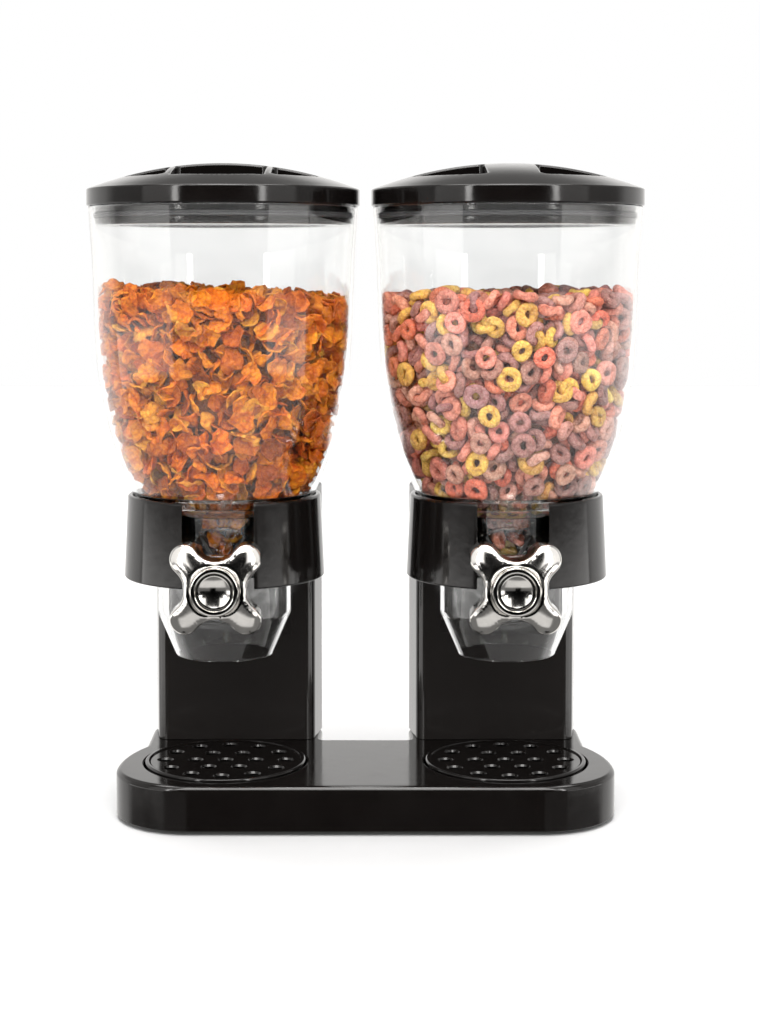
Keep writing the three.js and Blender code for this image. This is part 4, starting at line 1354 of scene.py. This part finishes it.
def bed(seed, depth, fill):
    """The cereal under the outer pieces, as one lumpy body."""
    rng = np.random.default_rng(seed)
    heights = np.linspace(CONE_LOW + 5, fill - depth * 0.8, 26)
    solid, loops = Solid(), []
    turn = np.linspace(0, 2 * math.pi, 72, endpoint=False)
    waves = [(rng.integers(5, 16), rng.uniform(0.08, 0.3), rng.uniform(0, 6)) for _ in range(9)]
    for h in heights:
        lump = sum(np.sin(n * turn + f * h + p) for n, f, p in waves) * 0.8
        r = np.maximum(float(wall_radius(np.array(h))) - depth * 0.9, 6) + lump
        loops.append(solid.loop(np.column_stack([r * np.cos(turn), r * np.sin(turn)]), h))
    solid.walls(loops)
    solid.cap(loops[0])
    solid.cap(loops[-1])
    return solid.object()


def lattice(rng, xs, ys, zs, loose):
    at = np.array([(x, y, z) for x in xs for y in ys for z in zs], float)
    at += rng.uniform(-loose, loose, at.shape)
    return at, turn_matrices(rng.normal(0, 1.2, at.shape))


def chambers(rng):
    """Places for the pieces caught in the upper three chambers of the portion wheel."""
    near, far = WHEEL["hub_r"] + 6, WHEEL["r"] - 5.5
    spots = [(far, math.radians(a)) for a in (30, 75, 105, 150)] + [(near, math.pi / 2)]
    at = [(r * math.cos(a), y, WHEEL_Z + r * math.sin(a)) for r, a in spots
          for y in (-14, -6, 2, 10)]
    return np.array(at), turn_matrices(rng.normal(0, 1.2, (len(at), 3)))


def pour(name, seed, count, balls, size, depth, face_wall, fill, slope, shapes, palette, finish):
    """Fills one hopper with cereal: outer pieces, a bed behind them, and a portion in the wheel."""
    rng = np.random.default_rng(seed)
    centre, turn = settle(rng, count, balls, size, depth, face_wall, fill, slope,
                          steps=110)
    low = WHEEL_Z + WHEEL["r"]
    extra = lattice(rng, (-8, 0, 8), (-15, -7, 1, 9), (low + 5, low + 11, low + 17, low + 22), 1)
    centre, turn = np.vstack([centre, extra[0]]), np.concatenate([turn, extra[1]])
    made = [shapes(rng) for _ in range(16)]
    weights = np.array([w for w, _ in palette])
    colours = np.array([c for _, c in palette])

    def dressed(total):
        colour = rng.choice(len(palette), total, p=weights / weights.sum())
        shade = rng.normal(1, 0.13, (total, 1)) * rng.normal(1, 0.04, (total, 3))
        return rng.integers(0, len(made), total), np.clip(colours[colour] * shade, 0.01, 1)

    pick, tints = dressed(len(centre))
    body, x, kind = f"canister_{name}", AXIS[name], finish["slot"]
    level = np.quantile(centre[:, 2], [0, 1 / 3, 2 / 3, 1])
    for index, part in enumerate(("lower", "middle", "upper")):
        chosen = (centre[:, 2] >= level[index]) & ((centre[:, 2] < level[index + 1]) | (index == 2))
        gathered(f"{kind}_{part}", made, centre[chosen], turn[chosen], pick[chosen],
                 tints[chosen], in_hopper, finish, body, x)
    centre, turn = chambers(rng)
    small = [(shape * 0.78, cells) for shape, cells in made]
    gathered(f"{kind}_portion", small, centre, turn, *dressed(len(centre)), in_chamber, finish,
             f"wheel_{name}", x)
    core = bed(seed + 1, depth, fill)
    mesh = core.data
    tint = mesh.color_attributes.new("tint", "FLOAT_COLOR", "POINT")
    # painted shade: the bed is tinted at 0.3 of the pieces' mean colour, so the cereal behind the
    # outer pieces reads as lying in shade
    mean = 0.3 * np.average(colours, axis=0, weights=weights)
    tint.data.foreach_set("color", np.tile([*mean, 1], len(mesh.vertices)).astype(np.float32))
    mesh.transform(Matrix.Scale(MM, 4) @ Matrix.Translation((x, 0, 0)))
    mesh.shade_smooth()
    mesh.materials.append(finish)
    core.name = f"{kind}_bed"
    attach(core, body)


def ball_ring(count, rx, ry, r, bend=0.0, centre=True):
    at = circle(1, count) * (rx, ry)
    balls = [(x, y, bend * x * x, r) for x, y in at]
    if centre:
        balls.append((0, 0, 0, r))
    balls = np.array(balls)
    balls[:, :3] -= balls[:, :3].mean(0)
    return balls


GOLD = [(5, (0.90, 0.31, 0.016)), (4, (0.82, 0.22, 0.010)), (2, (0.95, 0.45, 0.05)),
        (2, (0.52, 0.12, 0.008))]
FRUIT = [(6, (0.86, 0.32, 0.24)), (3, (0.82, 0.20, 0.11)), (5, (0.42, 0.20, 0.19)),
         (5, (0.90, 0.58, 0.11)), (3, (0.74, 0.38, 0.29))]
FILL = HOPPER_LOW[2] + 155

pour("left", 11, 1600, ball_ring(6, 5.2, 4.4, 1.9, 0.03), 4.5, 14, 0.3, FILL + 1, -0.05,
     flake_shape, GOLD, FLAKE)
pour("right", 23, 1150, ball_ring(8, 4.5, 4.5, 2.45, centre=False), 4.2, 14, 0.85, FILL, 0.02,
     ring_shape, FRUIT, RINGED)


# ------------------------------------------------------------------ assembly
def put_at(proto, name, finish, body, x, y, z, shift=0.0):
    """Makes a copy of a small part at a point of the stand."""
    copy = proto.copy()
    copy.data = proto.data.copy()
    return put(move(copy, Matrix.Translation((x, y, z))), name, finish, body, shift)


put(base_shell(), "base_shell", GLOSS, "stand")
put(base_plate(), "base_plate", SATIN, "stand")
for index, (x, y) in enumerate(FEET):
    put(foot(x, y), f"foot_{index + 1}", RUBBER, "stand")

base_screw, column_screw = screw(3.4, 1.6, 1.5, 11), screw(4, 2.4, 1.7, 12)
for index, (x, y) in enumerate(SCREWS):
    put_at(base_screw, f"base_screw_{index + 1}", STEEL, "stand", x, y, 0.6)

rotating = {"wheel_hub": (wheel_hub(), NYLON), "wheel_paddles": (wheel_paddles(), SILICONE),
            "spindle": (spindle(), NYLON), "knob": (knob(), CHROME),
            "knob_cap": (knob_cap(), CHROME), "knob_screw": (knob_screw(), STEEL)}
lifted = {"canister": (canister(), CLEAR), "funnel": (funnel(), CLEAR),
          "wheel_housing": (wheel_housing(), CLEAR), "housing_cover": (housing_cover(), CLEAR),
          "spout": (spout(), CLEAR), "bush_front": (bush(True), NYLON),
          "bush_rear": (bush(False), NYLON)}
lid = {"lid_cap": (lid_cap(), GLOSS), "lid_plug": (lid_plug(), GLOSS),
       "lid_gasket": (lid_gasket(), SILICONE)}
ring, grid, dish, cover = collar(), crumb_grid(), crumb_dish(), column_back()

for side, name in SIDES:
    axis, column_x = AXIS[name], side * COLUMN["centre"]
    put(column(axis - column_x), f"column_{name}", GLOSS, "stand", column_x)
    put(cover, f"column_back_{name}", GLOSS, "stand", column_x)
    put(ring, f"collar_{name}", GLOSS, "stand", axis)
    for index, (x, y) in enumerate(COLUMN_SCREWS):
        put_at(column_screw, f"column_screw_{name}_{index + 1}", STEEL, "stand", x, y, 24.2,
               column_x)
    for key, (proto, finish) in lifted.items():
        put(proto, f"{key}_{name}", finish, f"canister_{name}", axis)
    for key, (proto, finish) in rotating.items():
        put(proto, f"{key}_{name}", finish, f"wheel_{name}", axis)
    for key, (proto, finish) in lid.items():
        put(proto, f"{key}_{name}", finish, f"lid_{name}", axis, LID["turn"] if side < 0 else 0)
    put(grid, f"crumb_grid_{name}", GLOSS, f"crumb_grid_{name}", axis)
    put(dish, f"crumb_dish_{name}", SATIN, f"crumb_dish_{name}", axis)

for leftover in [o for o in bpy.context.scene.objects
                 if o.type == "MESH" and o.name.startswith("solid")]:
    drop(leftover)


# ------------------------------------------------------------------ studio
def studio():
    """An even white room whose lit areas are painted by direction, as softboxes and a table."""
    world = bpy.data.worlds.new("studio")
    bpy.context.scene.world = world
    world.use_nodes = True
    tree = Tree(world.node_tree)
    way = tree.node("SeparateXYZ", {0: tree.out("TexCoord", socket="Generated")}).outputs
    turn = tree.math("ABSOLUTE", tree.math("ARCTAN2", way[0], tree.math("MULTIPLY", way[1], -1)))
    turn = tree.math("DEGREES", turn)
    climb = tree.math("DEGREES", tree.math("ARCSINE", way[2]))
    total = 0.0
    for turn_range, climb_range, soft, strength in STUDIO:
        value = strength
        for source, (low, high) in ((turn, turn_range), (climb, climb_range)):
            if low > -90 and not (source == turn and low <= 0):
                value = tree.math("MULTIPLY", value, tree.ranged(
                    source, low - soft, low + soft, smooth=True))
            if high < 90 or (source == turn and high < 180):
                value = tree.math("MULTIPLY", value, tree.ranged(
                    source, high + soft, high - soft, smooth=True))
        total = tree.math("ADD", total, value)
    # what is seen directly or straight through clear plastic is plain white
    path = tree.node("LightPath").outputs
    straight = tree.math("LESS_THAN", path["Glossy Depth"], 0.5)
    seen = tree.math("MAXIMUM", path["Is Camera Ray"],
                     tree.math("MULTIPLY", path["Is Transmission Ray"], straight))
    room = tree.out("Background", {"Color": (1, 0.985, 0.965, 1), "Strength": total})
    plain = tree.out("Background", {"Color": (1, 1, 1, 1), "Strength": 1.0})
    tree.node("OutputWorld", {"Surface": tree.out("MixShader", {0: seen, 1: room, 2: plain})})


# (degrees from straight ahead of the front), (degrees above level), softness, brightness
STUDIO = [
    ((0, 180), (60, 90), 6, 1.9),           # overhead softbox
    ((0, 35), (64, 86), 3, 10.0),           # lamp over the front
    ((110, 180), (62, 82), 3, 6.0),         # lamp over the back
    ((0, 28), (36, 50), 2, 9.0),            # small lamp in front
    ((105, 180), (-90, 24), 8, 1.15),       # white room behind
    ((105, 150), (24, 60), 8, 0.6),
    ((150, 180), (24, 60), 8, 0.33),
    ((42, 105), (-60, -14), 1.2, 0.2),      # the lit table beside
    ((42, 105), (-14, -4.5), 1.2, 2.3),     # side softboxes
    ((42, 105), (-4.5, 0.5), 1, 0.22),
    ((38, 66), (0.5, 50), 1.5, 1.2),
    ((66, 105), (0.5, 50), 6, 0.6),
    ((33.5, 38.5), (0, 45), 0.8, 9.0),      # bright inner strip
    ((22, 36), (8, 45), 1.5, 1.6),
    ((9, 42), (-27, -13.5), 1.5, 0.15),     # table in front
    ((0, 42), (-45, -24), 3, 0.8),
    ((0, 42), (-90, -45), 3, 0.2),
]
studio()

floor_mesh = bpy.data.meshes.new("floor")
floor_mesh.from_pydata([(-4, -4, 0), (4, -4, 0), (4, 4, 0), (-4, 4, 0)], [], [(0, 1, 2, 3)])
floor = bpy.data.objects.new("floor", floor_mesh)
bpy.context.scene.collection.objects.link(floor)
paper, tree = material("floor_paper")
fibre = tree.noise(40, 3, 0.5)
surface(tree, tree.out("BsdfDiffuse", {
    "Color": tree.mixed(fibre, (0.62, 0.625, 0.635, 1), (0.64, 0.645, 0.655, 1))}))
floor_mesh.materials.append(paper)
floor.visible_glossy = False

LENS, SENSOR, TILT, SHIFT_Y = 68.14, 36.0, 2.73, -0.15
camera_data = bpy.data.cameras.new("camera")
camera_data.lens, camera_data.sensor_width = LENS, SENSOR
camera_data.shift_x, camera_data.shift_y = 0.0143, SHIFT_Y
camera_data.clip_end = 100
camera = bpy.data.objects.new("camera", camera_data)
camera.location = (0, -1.1656, 0.3349)
camera.rotation_euler = (math.radians(90 - TILT), 0, 0)
bpy.context.scene.collection.objects.link(camera)
bpy.context.scene.camera = camera

scene = bpy.context.scene
scene.view_settings.view_transform = "Standard"
scene.cycles.transparent_max_bounces = 16
